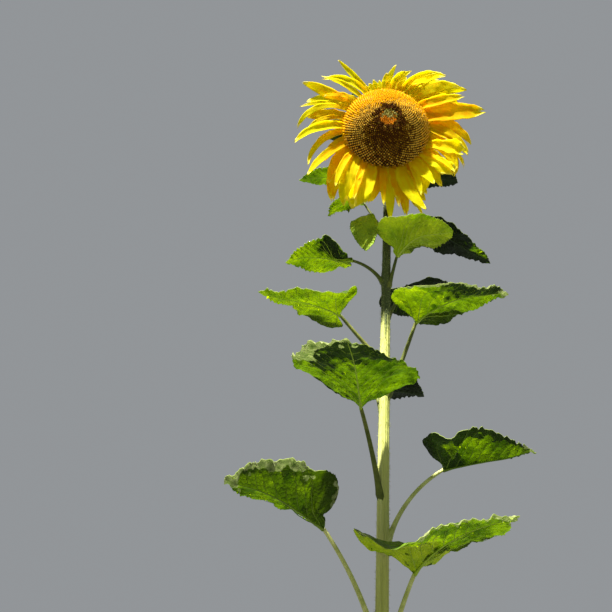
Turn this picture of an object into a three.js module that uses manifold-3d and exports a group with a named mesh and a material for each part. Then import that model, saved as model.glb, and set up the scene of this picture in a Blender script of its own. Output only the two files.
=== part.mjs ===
// A tall sunflower plant in flower, cut flat at ground level.
// Millimetres, +Z up. The origin is the middle of the stem's flat cut.
// The bloom nods towards -Y.
import * as THREE from 'three';
import { mergeVertices } from 'three/addons/utils/BufferGeometryUtils.js';
import Module from 'manifold-3d';

const wasm = await Module();
wasm.setup();

// Driving sizes
const CLEAR = 0.3; // gap between pieces that meet

const STEM_TOP = 2440; // where the stem ends and the neck begins to bend
const STEM_LEAN = 45; // how far the stem has moved to +X at LEAN_HEIGHT
const LEAN_HEIGHT = 2400;
const LEAN_POWER = 1.6; // above 1, the lean grows towards the top
const STEM_TIP_RADIUS = 7.5;
const STEM_TAPER = 6.5; // what the stem's radius gains from top to ground
const TAPER_POWER = 0.9;
const FLARE = 7; // extra radius of the root flare at the ground
const FLARE_HEIGHT = 45;
const STEM_SIDES = 12;
const STEM_RINGS = 22;
const RING_BUNCHING = 1.3; // the stem's rings stand closer together in the flare

const STALK_RADIUS = 2.4; // of a leaf's stalk, before what its blade's length adds
const STALK_GAIN = 1 / 90; // added radius for each millimetre of blade
const STALK_TAPER = 0.3; // share of the radius that is lost on the way to the blade
const STALK_SWELL = 0.5; // share that the radius gains at the stem
const SWELL_FADE = 9; // how fast that swelling goes, for one stalk's length
const STALK_ROOT = 0.5; // how far a stalk starts inside the stem, as a share of the stem's radius
const PETIOLE_SIDES = 6;
const PETIOLE_STEPS = 6;

const BLADE_ROWS = 7;
const BLADE_COLUMNS = 3; // on each side of the midrib
const BLADE_THICKNESS = 0.012; // of the blade's length
const BLADE_MIN_THICKNESS = 1.6;
const ROW_BUNCHING = 1.7; // rows of veins start close together at the base
const MOVE_REACH = 32; // how far from its middle a move of a blade is felt
const WAVE_FREQUENCY = 1.6; // waves of the margin along one blade
const MIDRIB_STEPS = 40;

const HEAD_CENTRE = new THREE.Vector3(30, -105, 2512); // middle of the disc's rim
const HEAD_NOD = 15; // degrees below level that the face looks
const DISC_RADIUS = 87;
const DISC_DOME = 45; // how far the dome stands out of the rim
const DOME_POWERS = [2.4, 0.8]; // a flat crown and steep shoulders
const DOME_STEPS = 7;
const DIMPLE_DEPTH = 6; // the hollow in the middle of the dome
const DIMPLE_WIDTH = 0.22; // of the disc's radius
const DISC_BACK = 4; // the disc's flat back lies this far behind its rim
const DISC_EDGE = 3; // how far the back's rim is drawn in
const PLATE_THICKNESS = 6; // the plate that carries the ray petals
const PLATE_RADIUS = 92;
const PLATE_EDGE = 2; // how far the plate's rim is bevelled
const RECEPTACLE_RADIUS = 88;
const RECEPTACLE_DEPTH = 34;
const RECEPTACLE_CUP = [[0.45, 0.82], [0.8, 0.5], [1, 0.24]]; // shares of its radius and depth
const BLOOM_SEGMENTS = 32;
const CUP_SEGMENTS = 24;
const NECK_RADIUS = 9; // of the neck where it starts
const NECK_END_RADIUS = 13; // and where it meets the bloom
const NECK_STEPS = 9;
const NECK_COLLAR = 3; // how much wider the receptacle's flat foot is than the neck

const PETAL_THICKNESS = 1.3;
const PETAL_START = DISC_RADIUS + 1.5; // distance of a petal's root from the bloom's axis
const PETAL_TROUGH = 0.3; // how far a petal's sides are raised, as a share of its half width
const RAY_ROWS = [[0, 0.55], [0.3, 1], [0.68, 0.86]]; // share of the length, share of the width
const LEAN_AT_ROOT = 0.3; // share of its sideways lean that a petal has at its root
const LEAN_AT_TIP = 1.7;

const BRACTS = 18;
const BRACT_THICKNESS = 1.6;
const BRACT_LENGTH = 48;
const BRACT_WIDTH = 26;
const BRACT_TROUGH = -0.25;
const BRACT_RISE = -30; // at the root, behind the bloom
const BRACT_TIP_RISE = -12;
const BRACT_ROOT = 6; // how far a bract starts inside the receptacle's rim
const BRACT_DEPTH = 7; // and behind its front

// Leaves that the photograph shows, from low to high.
//   z, side: height and compass side where the stalk leaves the stem
//   stalk: length, rise at the stem, rise at the blade
//   size: length and width of the blade
//   turn, bend: turn of the blade from its stalk, and its further turn to the tip
//   pitch: rise of the midrib at the base and at the tip
//   left, right: fold of each half at the base, at the tip, and its curl to the margin
//   wave: height of the margin's wave on the left, its first crest, then the same on the right
//   moves: where a blade leaves its rule, as share along and across, then how far to the right and up
//     it goes there as the photograph shows it
const UPPER_LEAVES = [
  { z: 1540, side: -20, stalk: [125, 75, 64], size: [205, 200], turn: -50, bend: 40,
    pitch: [28, 8], left: [35, 15, -20], right: [20, -8, -10], wave: [0, 0, 20, 0.1],
    moves: [[0.24, -1, -24, -8], [0.34, -0.98, 8, -7], [-0.02, -0.5, 5, 12], [0.04, -0.95, -8, 10],
      [0.48, -0.85, 6, -5], [0.66, -0.68, 2, -10], [0.89, 0.25, 9, -2], [0.71, 0.6, 22, -13],
      [0.48, 0.9, 19, -8], [0.04, 0.9, -12, 0]] },
  { z: 1561, side: -158, stalk: [178, 70, 48], size: [178, 150], turn: 3, bend: 0,
    pitch: [27, 12], left: [55, 45, -25], right: [22, 15, -10], wave: [8, 0.15, 4, 0],
    moves: [[0.71, 0.6, -7, 9], [0.58, 0.8, 2, 5], [0.48, 0.9, 6, 16], [0.24, 1, 8, 7],
      [0.13, 0.98, -16, -2], [0.04, 0.95, -20, -2], [-0.02, 0.5, -22, 2], [0.71, -0.6, -10, -18],
      [0.92, -0.2, -6, -9], [0.24, -1, 2, 8]] },
  { z: 1707, side: -5, stalk: [154, 72, 31], size: [162, 140], turn: -42, bend: 32,
    pitch: [0, 16], left: [40, 30, -10], right: [40, 33, -20], wave: [0, 0, 14, 0.08],
    moves: [[0.04, -0.95, -12, 22], [0.12, -1, -3, -32], [0.24, -1, 7, -8], [0.36, -0.97, -6, 14],
      [0.48, -0.9, -5, 20], [0.6, -0.8, -3, 3], [0.75, -0.5, 3, -12], [0.92, -0.1, -6, -5],
      [0.5, 0, 0, -2], [0.75, 0, 0, -6], [0.85, 0.3, 0, -8]] },
  { z: 1779, side: -135, stalk: [145, 76, 64], size: [210, 215], turn: 35, bend: 0,
    pitch: [16, -6], left: [42, 0, -25], right: [45, 0, -20], wave: [0, 0, 0, 0],
    moves: [[0.75, -0.6, -16, 16], [0.5, -0.9, -12, 9], [0.24, -1, -12, 11], [0.92, -0.2, -8, 12],
      [0.24, 1, -1, -12], [0.5, 0.9, -7, -2], [0.71, 0.6, -4, -6]] },
  { z: 1905, side: 98, stalk: [90, 66, 58], size: [135, 120], turn: -50, bend: -25,
    pitch: [26, -2], left: [20, 0, -20], right: [32, 4, -20], wave: [4, 0.2, 4, 0.4] },
  { z: 1960, side: -24, stalk: [146, 67, 70], size: [185, 150], turn: -22, bend: 42,
    pitch: [24, -2], left: [32, 0, -20], right: [22, 6, -20], wave: [0, 0, 8, 0.05],
    moves: [[0.04, -0.95, -5, 12], [0.24, -1, -16, 2], [-0.02, -0.5, 0, 8], [0.48, -0.9, 0, -11],
      [0.71, -0.6, 0, -17], [0.92, 0, -4, -4], [0.24, 1, 0, -12], [0.04, 0.9, 0, 0],
      [0.71, 0.6, 0, -3], [0.89, 0.3, 0, -5]] },
  { z: 2025, side: -165, stalk: [113, 43, 47], size: [168, 120], turn: 12, bend: -22,
    pitch: [9, 5], left: [20, 14, -20], right: [22, 12, -20], wave: [12, 0, 8, -0.1],
    moves: [[0.71, 0.6, 0, -18], [0.48, 0.9, 0, -19], [0.26, 1, 22, -3], [0.1, 1, 14, 7],
      [-0.02, 0.5, -8, 12], [1, 0, 4, -4], [0.71, -0.6, 0, -6], [0, -0.6, 16, -14]] },
  { z: 2120, side: 50, stalk: [140, 60, 52], size: [125, 140], turn: 15, bend: 0, roll: -15,
    pitch: [4, -18], left: [15, 0, -20], right: [15, 0, -20], wave: [0, 0, 0, 0],
    moves: [[-0.02, -0.5, 11, -6], [0.04, -0.95, 11, -6], [0.24, -1, 14, -11]] },
  { z: 2190, side: -40, stalk: [62, 74, 72], size: [125, 152], turn: -10, bend: 50,
    pitch: [42, 3], left: [38, 10, -20], right: [18, 10, -20], wave: [0, 0, 0, 0],
    moves: [[0.04, -0.95, 5, 30], [-0.02, -0.5, 18, 5], [0.24, -1, 0, 4], [0.5, -0.9, 0, -1],
      [0.71, -0.6, 0, -5], [0.89, 0.3, 12, -12], [0.71, 0.6, 28, -18], [0.48, 0.9, 12, -1],
      [0.24, 1, -5, 12], [0.04, 0.9, -9, 18]] },
  { z: 2200, side: 180, stalk: [76, 62, 15], size: [140, 105], turn: 8, bend: 0,
    pitch: [2, -25], left: [25, 10, -20], right: [12, 8, -20], wave: [6, 0.3, 0, 0],
    moves: [[0.48, 0.9, -15, 10], [0.24, 1, -22, 4], [0.04, 0.95, -24, -19],
      [-0.02, 0.5, -17, -18], [0.75, 0.5, -5, 8], [0.04, -0.9, 0, 5], [0.5, -0.9, 0, -5]] },
  { z: 2315, side: 25, stalk: [95, 60, 20], size: [200, 110], turn: 0, bend: 0,
    pitch: [-2, -20], left: [15, 0, -20], right: [15, 0, -20], wave: [5, 0.1, 5, 0.2],
    moves: [[0.04, -0.95, 0, -12], [0.24, -1, 0, -16], [0.48, -0.9, -3, -11], [0.71, -0.6, -3, -9]] },
  { z: 2328, side: 165, stalk: [87, 60, 65], size: [90, 62], turn: 10, bend: 0,
    pitch: [5, -60], left: [30, 0, -20], right: [10, 0, -20], wave: [0, 0, 0, 0],
    moves: [[0.24, 1, 0, -12], [0.48, 0.9, -5, -9], [0.71, 0.6, -16, 7], [0.9, 0.3, -7, 13],
      [0.48, -0.9, 0, 11], [0.24, -1, -8, 15], [0.04, -0.9, -6, 9], [1, 0, 8, -5]] },
  { z: 2316, side: -138, stalk: [54, 36, 5], size: [95, 66], turn: 15, bend: 0,
    pitch: [-60, -85], left: [5, 0, -20], right: [5, 0, -20], wave: [0, 0, 0, 0],
    moves: [[1, 0, 10, -14], [0.71, 0.6, 11, -14], [0.45, 0.9, 2, -20], [0.12, 1, -9, -16]] },
  { z: 2425, side: 20, stalk: [90, 72, 40], size: [130, 120], turn: 0, bend: 0,
    pitch: [20, 0], left: [20, 0, -20], right: [20, 0, -20], wave: [4, 0, 4, 0] },
  { z: 2425, side: 160, stalk: [90, 66, 30], size: [142, 80], turn: 0, bend: 0,
    pitch: [14, 2], left: [20, 0, -20], right: [20, 0, -20], wave: [3, 0.2, 3, 0] },
];

// Leaves below the photograph: bigger, further apart and drooping, turned by the golden angle.
const LOWER_LEAVES = 10;
const LOWER_TOP = 1425;
const LOWER_SPACING = 112;
const LOWER_FIRST_SIDE = 95;
const GOLDEN_ANGLE = 137.5;

// Ray petals: angle round the rim, length, width, sideways lean, rise from the face at base and tip
const PETALS = [
  [108, 82, 13, 35, 10, 25], [113, 95, 15, 50, 25, 5], [124, 98, 15, 28, 5, 15],
  [133, 45, 12, 35, 45, 60], [140, 60, 15, 20, 15, 10], [149, 108, 18, 4, 0, 5],
  [156, 86, 14, 36, 30, 25], [162, 112, 15, 50, 15, 0], [169, 74, 20, 28, 30, 10],
  [178, 110, 19, 28, 5, 5], [187, 114, 13, 38, 10, 10], [194, 60, 16, 25, 10, 30],
  [202, 124, 23, 52, 20, 15], [212, 70, 18, 35, 5, 25], [220, 62, 16, 26, 15, 40],
  [230, 92, 34, 22, 10, 15], [240, 80, 22, 12, 25, 20], [250, 84, 26, 6, 5, 10],
  [258, 78, 28, -2, 20, 15], [268, 82, 24, 4, 5, 15], [277, 103, 13, -3, 10, 5],
  [285, 90, 17, -6, 20, 15], [292, 96, 18, -8, 5, 5], [299, 100, 20, -4, 15, 20],
  [308, 74, 22, -18, 25, 15], [317, 80, 21, 10, 10, 10], [326, 62, 20, -12, 5, 20],
  [338, 84, 24, 6, 20, 5], [346, 95, 17, -30, 5, 25], [355, 60, 14, -24, 30, 40],
  [4, 104, 16, -42, 10, 10], [14, 96, 16, -36, 25, 10], [25, 120, 28, -20, 10, 5],
  [36, 74, 16, -30, 30, 20], [45, 70, 14, -24, 15, 20], [52, 108, 20, -38, 5, 10],
  [60, 80, 24, -22, 20, 15], [74, 48, 34, -14, 10, 20], [88, 40, 11, 4, 15, 25],
  [99, 22, 13, -6, 10, 20],
];

const matt = (colour) => new THREE.MeshStandardMaterial({ color: colour, roughness: 0.7, metalness: 0 });
const STEM_GREEN = matt(0x9aa84f);
const STALK_GREEN = matt(0x86983f);
const LEAF_GREEN = matt(0x4d7a1f);
const BRACT_GREEN = matt(0x5d8a2a);
const PETAL_YELLOW = matt(0xf2b90c);
const DISC_BROWN = matt(0x7a4a12);

const EAST = new THREE.Vector3(1, 0, 0);
const UP = new THREE.Vector3(0, 0, 1);
const PICTURE_UP = new THREE.Vector3(0, -0.5, 0.866); // up, as the camera sees it
const radians = THREE.MathUtils.degToRad;
const mix = THREE.MathUtils.lerp;

// A unit vector with this compass angle (from +X towards +Y) and rise, in degrees.
function direction(side, rise) {
  const level = Math.cos(radians(rise));
  return new THREE.Vector3(
    level * Math.cos(radians(side)), level * Math.sin(radians(side)), Math.sin(radians(rise)));
}

function stemRadius(z) {
  const up = Math.min(z / LEAN_HEIGHT, 1);
  return STEM_TIP_RADIUS + STEM_TAPER * (1 - up) ** TAPER_POWER + FLARE * Math.exp(-z / FLARE_HEIGHT);
}

function stemCentre(z) {
  return new THREE.Vector3(STEM_LEAN * (z / LEAN_HEIGHT) ** LEAN_POWER, 0, z);
}

// Solids pass through these two on their way into and out of a boolean.
function toSolid(geometry) {
  const bare = geometry.clone();
  bare.deleteAttribute('normal');
  bare.deleteAttribute('uv');
  const merged = mergeVertices(bare, 1e-4);
  return new wasm.Manifold(new wasm.Mesh({
    numProp: 3,
    vertProperties: new Float32Array(merged.attributes.position.array),
    triVerts: new Uint32Array(merged.index.array),
  }));
}

function fromSolid(solid) {
  const mesh = solid.getMesh();
  return polyhedron(Array.from(mesh.vertProperties), Array.from(mesh.triVerts));
}

function polyhedron(positions, triangles) {
  const geometry = new THREE.BufferGeometry();
  geometry.setAttribute('position', new THREE.Float32BufferAttribute(positions, 3));
  geometry.setIndex(triangles);
  geometry.computeVertexNormals();
  return geometry;
}

// A closed tube with flat ends through rings of points, each ring counter-clockwise from above.
function loft(rings) {
  const sides = rings[0].length;
  const positions = rings.flat().flatMap((point) => point.toArray());
  const triangles = [];
  for (let ring = 0; ring < rings.length - 1; ring += 1) {
    for (let i = 0; i < sides; i += 1) {
      const next = (i + 1) % sides;
      const [a, b] = [ring * sides + i, ring * sides + next];
      triangles.push(a, b, b + sides, a, b + sides, a + sides);
    }
  }
  const last = (rings.length - 1) * sides;
  for (let i = 1; i < sides - 1; i += 1) {
    triangles.push(0, i + 1, i);
    triangles.push(last, last + i, last + i + 1);
  }
  return polyhedron(positions, triangles);
}

// A round ring about a point, square to the direction that the limb grows in.
// Its first point lies on the side named by across, which is square to that direction.
function ring(centre, growth, across, radius, sides) {
  const second = new THREE.Vector3().crossVectors(growth, across);
  return Array.from({ length: sides }, (_, i) => {
    const angle = (2 * Math.PI * i) / sides;
    return centre.clone()
      .addScaledVector(across, radius * Math.cos(angle))
      .addScaledVector(second, radius * Math.sin(angle));
  });
}

function stem(extra = 0) {
  const rings = [];
  for (let i = 0; i <= STEM_RINGS; i += 1) {
    const z = STEM_TOP * (i / STEM_RINGS) ** RING_BUNCHING;
    rings.push(ring(stemCentre(z), UP, EAST, stemRadius(z) + extra, STEM_SIDES));
  }
  return loft(rings);
}

// The line of a leaf stalk: its points and the direction that it grows in at each.
function stalkLine({ z, side, stalk: [length, riseAtStem, riseAtBlade] }) {
  const points = [stemCentre(z).addScaledVector(direction(side, 0), stemRadius(z))];
  for (let i = 0; i < PETIOLE_STEPS; i += 1) {
    const along = (i + 0.5) / PETIOLE_STEPS;
    const growth = direction(side, mix(riseAtStem, riseAtBlade, along));
    points.push(points[i].clone().addScaledVector(growth, length / PETIOLE_STEPS));
  }
  return points;
}

function stalkRadius(leaf, along) {
  const swell = STALK_SWELL * Math.exp(-along * SWELL_FADE);
  return (STALK_RADIUS + leaf.size[0] * STALK_GAIN) * (1 - STALK_TAPER * along + swell);
}

function petiole(leaf, stemToCutBy) {
  const points = stalkLine(leaf);
  const [, riseAtStem, riseAtBlade] = leaf.stalk;
  const across = direction(leaf.side + 90, 0);
  points[0].addScaledVector(direction(leaf.side, riseAtStem), -stemRadius(leaf.z) * STALK_ROOT);
  const rings = points.map((point, i) => {
    const along = i / PETIOLE_STEPS;
    const growth = direction(leaf.side, mix(riseAtStem, riseAtBlade, along));
    return ring(point, growth, across, stalkRadius(leaf, along), PETIOLE_SIDES);
  });
  return fromSolid(toSolid(loft(rings)).subtract(stemToCutBy));
}

// Margin of one half of a blade: share of the length, share of the half width.
const MARGIN = [[0, 0], [0.02, 0.14], [-0.02, 0.42], [0, 0.76], [0.14, 1], [0.34, 1],
  [0.56, 0.82], [0.76, 0.52], [0.91, 0.22], [1, 0]]
  .map(([along, across]) => new THREE.Vector3(along, across, 0));
const marginCurve = new THREE.CatmullRomCurve3(MARGIN, false, 'catmullrom', 0.5);

// Where a point of a blade lies: x along the midrib and y from it, as shares, and the half it is on.
function bladePoint(leaf, midrib, x, y, half) {
  const inside = THREE.MathUtils.clamp(x, 0, 1);
  const [length, width] = leaf.size;
  const side = leaf.side + leaf.turn + leaf.bend * inside;
  const growth = direction(side, mix(leaf.pitch[0], leaf.pitch[1], inside));
  const level = direction(side + 90, 0).applyAxisAngle(growth, radians(leaf.roll ?? 0));
  const up = new THREE.Vector3().crossVectors(growth, level);
  const [foldAtBase, foldAtTip, curl] = half > 0 ? leaf.left : leaf.right;
  const [waveHeight, waveCrest] = half > 0 ? leaf.wave.slice(0, 2) : leaf.wave.slice(2);
  const fold = radians(mix(foldAtBase, foldAtTip, inside));
  const bow = radians(curl);
  const outward = ((Math.sin(fold + bow * y) - Math.sin(fold)) / bow) * (width / 2);
  const wave = waveHeight * y * y * Math.cos(2 * Math.PI * WAVE_FREQUENCY * (x - waveCrest));
  const upward = ((Math.cos(fold) - Math.cos(fold + bow * y)) / bow) * (width / 2) + wave;
  return midrib(inside)
    .addScaledVector(growth, Math.min(x, 0) * length)
    .addScaledVector(level, half * outward)
    .addScaledVector(up, upward)
    .add(bladeMove(leaf, x, y, half));
}

// How far a point of a blade leaves its rule. The base stays where it is.
function bladeMove(leaf, x, y, half) {
  const [length, width] = leaf.size;
  const total = new THREE.Vector3();
  let weight = 0;
  (leaf.moves ?? []).forEach(([atX, atY, right, up]) => {
    const gap = Math.hypot((x - atX) * length, ((y * half - atY) * width) / 2);
    const share = Math.exp(-((gap / MOVE_REACH) ** 2));
    total.addScaledVector(EAST, share * right).addScaledVector(PICTURE_UP, share * up);
    weight += share;
  });
  const free = THREE.MathUtils.smoothstep(Math.hypot(x * length, (y * width) / 2), 4, 30);
  return total.multiplyScalar(free / Math.max(weight, 1));
}

// The midrib as a function of the share of its length.
function midribOf(leaf, base) {
  const points = [base];
  for (let i = 0; i < MIDRIB_STEPS; i += 1) {
    const along = (i + 0.5) / MIDRIB_STEPS;
    const growth = direction(
      leaf.side + leaf.turn + leaf.bend * along, mix(leaf.pitch[0], leaf.pitch[1], along));
    points.push(points[i].clone().addScaledVector(growth, leaf.size[0] / MIDRIB_STEPS));
  }
  return (share) => {
    const at = share * MIDRIB_STEPS;
    const i = Math.min(Math.floor(at), MIDRIB_STEPS - 1);
    return points[i].clone().lerp(points[i + 1], at - i);
  };
}

// A sheet given as rows of points becomes a closed blade of this thickness.
// The first and last row may be one point each.
function thicken(rows, thickness) {
  const points = rows.flat();
  const starts = [];
  rows.reduce((count, row) => { starts.push(count); return count + row.length; }, 0);
  const faces = [];
  const addFace = (a, b, c) => { faces.push([a, b, c]); };
  for (let r = 0; r < rows.length - 1; r += 1) {
    const [here, next] = [rows[r].length, rows[r + 1].length];
    for (let c = 0; c < Math.max(here, next) - 1; c += 1) {
      if (here === 1) addFace(starts[r], starts[r + 1] + c + 1, starts[r + 1] + c);
      else if (next === 1) addFace(starts[r] + c, starts[r] + c + 1, starts[r + 1]);
      else {
        const [a, b] = [starts[r] + c, starts[r + 1] + c];
        addFace(a, a + 1, b + 1);
        addFace(a, b + 1, b);
      }
    }
  }
  const normals = points.map(() => ({ sum: new THREE.Vector3(), count: 0 }));
  faces.forEach(([a, b, c]) => {
    const normal = new THREE.Triangle(points[a], points[b], points[c]).getNormal(new THREE.Vector3());
    [a, b, c].forEach((i) => { normals[i].sum.add(normal); normals[i].count += 1; });
  });
  const offsets = normals.map(({ sum, count }) => {
    const mean = sum.divideScalar(count);
    return mean.multiplyScalar(thickness / 2 / Math.max(mean.lengthSq(), 0.45));
  });
  const upper = points.map((point, i) => point.clone().add(offsets[i]));
  const lower = points.map((point, i) => point.clone().sub(offsets[i]));
  const total = points.length;
  const triangles = faces.flatMap(([a, b, c]) => [a, b, c, a + total, c + total, b + total]);
  const rim = [];
  rows.forEach((row, r) => rim.push(starts[r]));
  const top = rows[rows.length - 1];
  for (let c = 1; c < top.length - 1; c += 1) rim.push(starts[rows.length - 1] + c);
  for (let r = rows.length - 1; r >= 0; r -= 1) {
    const end = starts[r] + rows[r].length - 1;
    if (rim[rim.length - 1] !== end && rim[0] !== end) rim.push(end);
  }
  for (let c = rows[0].length - 2; c > 0; c -= 1) rim.push(c);
  rim.forEach((a, i) => {
    const b = rim[(i + 1) % rim.length];
    triangles.push(a, b, b + total, a, b + total, a + total);
  });
  return polyhedron([...upper, ...lower].flatMap((point) => point.toArray()), triangles);
}

function blade(leaf) {
  const line = stalkLine(leaf);
  const thickness = Math.max(BLADE_MIN_THICKNESS, BLADE_THICKNESS * leaf.size[0]);
  const base = line[line.length - 1];
  const midrib = midribOf(leaf, base);
  const rows = [[base]];
  for (let r = 1; r < BLADE_ROWS; r += 1) {
    const t = r / BLADE_ROWS;
    const edge = marginCurve.getPoint(t);
    const along = t ** ROW_BUNCHING;
    const row = [];
    for (let c = -BLADE_COLUMNS; c <= BLADE_COLUMNS; c += 1) {
      const share = Math.abs(c) / BLADE_COLUMNS;
      const half = c < 0 ? -1 : 1;
      row.push(bladePoint(leaf, midrib, mix(along, edge.x, share), edge.y * share, half));
    }
    rows.push(row);
  }
  rows.push([midrib(1)]);
  return seated(thicken(rows.map((row) => row.reverse()), thickness), base, leaf);
}

// Lifts a blade off the end of its stalk until its base is just clear of it.
function seated(geometry, stalkEnd, leaf) {
  const growth = direction(leaf.side, leaf.stalk[2]);
  const points = geometry.attributes.position;
  const lowest = Math.min(...[0, points.count / 2].map((i) => (
    new THREE.Vector3().fromBufferAttribute(points, i).sub(stalkEnd).dot(growth))));
  const lift = growth.multiplyScalar(CLEAR - lowest);
  return geometry.translate(lift.x, lift.y, lift.z);
}

// Round solids of the bloom, turned about the face's axis, +Z being the way that it looks.
function turned(profile, segments) {
  return new THREE.LatheGeometry(profile.map(([r, h]) => new THREE.Vector2(r, h)), segments)
    .rotateX(Math.PI / 2);
}

// Height of the disc's dome over its rim, at a share of its radius.
function domeHeight(share) {
  const [crown, shoulder] = DOME_POWERS;
  const dimple = DIMPLE_DEPTH * Math.exp(-((share / DIMPLE_WIDTH) ** 2));
  return DISC_DOME * (1 - share ** crown) ** shoulder - dimple;
}

function disc() {
  const profile = [[0, -DISC_BACK], [DISC_RADIUS - DISC_EDGE, -DISC_BACK]];
  for (let i = 0; i <= DOME_STEPS; i += 1) {
    const share = 1 - i / DOME_STEPS;
    profile.push([DISC_RADIUS * share, domeHeight(share)]);
  }
  return turned(profile, BLOOM_SEGMENTS);
}

// A petal or bract from a point of the rim, in the frame of the bloom.
function ray({ angle, length, width, lean, rise, start, depth, thickness, trough }) {
  const at = direction(angle, 0).multiplyScalar(start).setZ(depth);
  let before = 0;
  const goTo = (share) => {
    const middle = (share + before) / 2;
    const outward = angle + lean * mix(LEAN_AT_ROOT, LEAN_AT_TIP, middle);
    const growth = direction(outward, mix(rise[0], rise[1], middle));
    at.addScaledVector(growth, (share - before) * length);
    before = share;
    return direction(outward + 90, 0);
  };
  const rows = RAY_ROWS.map(([share, widthShare]) => {
    const across = goTo(share);
    const half = (width / 2) * widthShare;
    return [1, 0, -1].map((c) => at.clone()
      .addScaledVector(across, c * half).addScaledVector(UP, trough * half * c * c));
  });
  goTo(1);
  rows.push([at]);
  return thicken(rows, thickness);
}

function fused(base, pieces) {
  return fromSolid(pieces.reduce((solid, piece) => solid.add(toSolid(piece)), toSolid(base)));
}

function rayPetals() {
  const front = -DISC_BACK - CLEAR;
  const back = front - PLATE_THICKNESS;
  const middle = (front + back) / 2;
  const flat = PLATE_RADIUS - PLATE_EDGE;
  const plate = turned(
    [[0, back], [flat, back], [PLATE_RADIUS, middle], [flat, front], [0, front]], BLOOM_SEGMENTS);
  return fused(plate, PETALS.map(([angle, length, width, lean, atRoot, atTip]) => ray({
    angle,
    length,
    width,
    lean,
    rise: [atRoot, atTip],
    start: PETAL_START,
    depth: middle,
    thickness: PETAL_THICKNESS,
    trough: PETAL_TROUGH,
  })));
}

function receptacle() {
  const front = -DISC_BACK - 2 * CLEAR - PLATE_THICKNESS;
  const back = front - RECEPTACLE_DEPTH;
  const cup = RECEPTACLE_CUP.map(([radius, depth]) => [
    RECEPTACLE_RADIUS * radius, front - RECEPTACLE_DEPTH * depth]);
  const body = turned(
    [[0, back], [NECK_END_RADIUS + NECK_COLLAR, back], ...cup, [RECEPTACLE_RADIUS, front], [0, front]],
    CUP_SEGMENTS);
  const bracts = Array.from({ length: BRACTS }, (_, i) => ray({
    angle: (360 * i) / BRACTS + 7 * Math.sin(i * 2.4),
    length: BRACT_LENGTH + 8 * Math.sin(i * 1.7),
    width: BRACT_WIDTH + 3 * Math.cos(i * 2.9),
    lean: 10 * Math.sin(i * 3.1),
    rise: [BRACT_RISE, BRACT_TIP_RISE - 14 * (i % 3)],
    start: RECEPTACLE_RADIUS - BRACT_ROOT,
    depth: front - BRACT_DEPTH,
    thickness: BRACT_THICKNESS,
    trough: BRACT_TROUGH,
  }));
  return fused(body, bracts);
}

// The neck bends over from the stem's top to the back of the bloom.
function neck() {
  const nod = radians(HEAD_NOD);
  const facing = new THREE.Vector3(0, -Math.cos(nod), -Math.sin(nod));
  const back = DISC_BACK + 3 * CLEAR + PLATE_THICKNESS + RECEPTACLE_DEPTH;
  const end = HEAD_CENTRE.clone().addScaledVector(facing, -back);
  const start = stemCentre(STEM_TOP + CLEAR);
  const turn = Math.PI / 2 + nod;
  const bendRadius = -end.y / (1 - Math.cos(turn));
  const bendStart = new THREE.Vector3(stemCentre(STEM_TOP).x, 0, end.z - bendRadius * Math.sin(turn));
  const rings = [ring(start, UP, EAST, stemRadius(STEM_TOP), STEM_SIDES)];
  for (let i = 0; i <= NECK_STEPS; i += 1) {
    const share = i / NECK_STEPS;
    const angle = turn * share;
    const centre = new THREE.Vector3(
      mix(bendStart.x, end.x, share),
      -bendRadius * (1 - Math.cos(angle)),
      bendStart.z + bendRadius * Math.sin(angle));
    const growth = new THREE.Vector3(0, -Math.sin(angle), Math.cos(angle));
    rings.push(ring(centre, growth, EAST, mix(NECK_RADIUS, NECK_END_RADIUS, share), STEM_SIDES));
  }
  return loft(rings);
}

// The lower leaves follow one rule.
function lowerLeaf(k) {
  const down = k / (LOWER_LEAVES - 1);
  const swell = Math.sin(Math.PI * (0.35 + 0.5 * down));
  return {
    z: LOWER_TOP - LOWER_SPACING * k,
    side: LOWER_FIRST_SIDE + GOLDEN_ANGLE * k,
    stalk: [130 + 50 * swell, 60 - 12 * down, 30 - 25 * down],
    size: [195 + 55 * swell, 170 + 50 * swell],
    turn: 8 * Math.sin(k * 2.2),
    bend: 14 * Math.sin(k * 1.3),
    pitch: [6 - 16 * down, -28 - 22 * down],
    left: [20, 4, -20],
    right: [18, 2, -20],
    wave: [6, 0.1 + 0.06 * k, 6, 0.45 - 0.05 * k],
  };
}

const plant = new THREE.Group();

function add(name, geometry, material, parent = plant) {
  const mesh = new THREE.Mesh(geometry, material);
  mesh.name = name;
  parent.add(mesh);
}

add('stem', stem(), STEM_GREEN);
add('neck', neck(), STALK_GREEN);

const stemToCutBy = toSolid(stem(CLEAR));
const lowerLeaves = Array.from({ length: LOWER_LEAVES }, (_, k) => lowerLeaf(LOWER_LEAVES - 1 - k));
[...lowerLeaves, ...UPPER_LEAVES].forEach((leaf, i) => {
  const number = String(i + 1).padStart(2, '0');
  add(`petiole_${number}`, petiole(leaf, stemToCutBy), STALK_GREEN);
  add(`leaf_${number}`, blade(leaf), LEAF_GREEN);
});

const bloom = new THREE.Group();
bloom.position.copy(HEAD_CENTRE);
bloom.rotation.x = Math.PI / 2 + radians(HEAD_NOD);
plant.add(bloom);
add('disc', disc(), DISC_BROWN, bloom);
add('ray_petals', rayPetals(), PETAL_YELLOW, bloom);
add('receptacle', receptacle(), BRACT_GREEN, bloom);

export default plant;
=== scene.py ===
"""A tall sunflower plant in flower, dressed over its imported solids.

Lengths are metres, angles are degrees and +Z is up. The shapes follow the rules of the solids,
carried to finer meshes. Every piece stands still with the plant's one body.
"""

import math

import bpy
import numpy as np
from mathutils import Matrix


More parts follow.
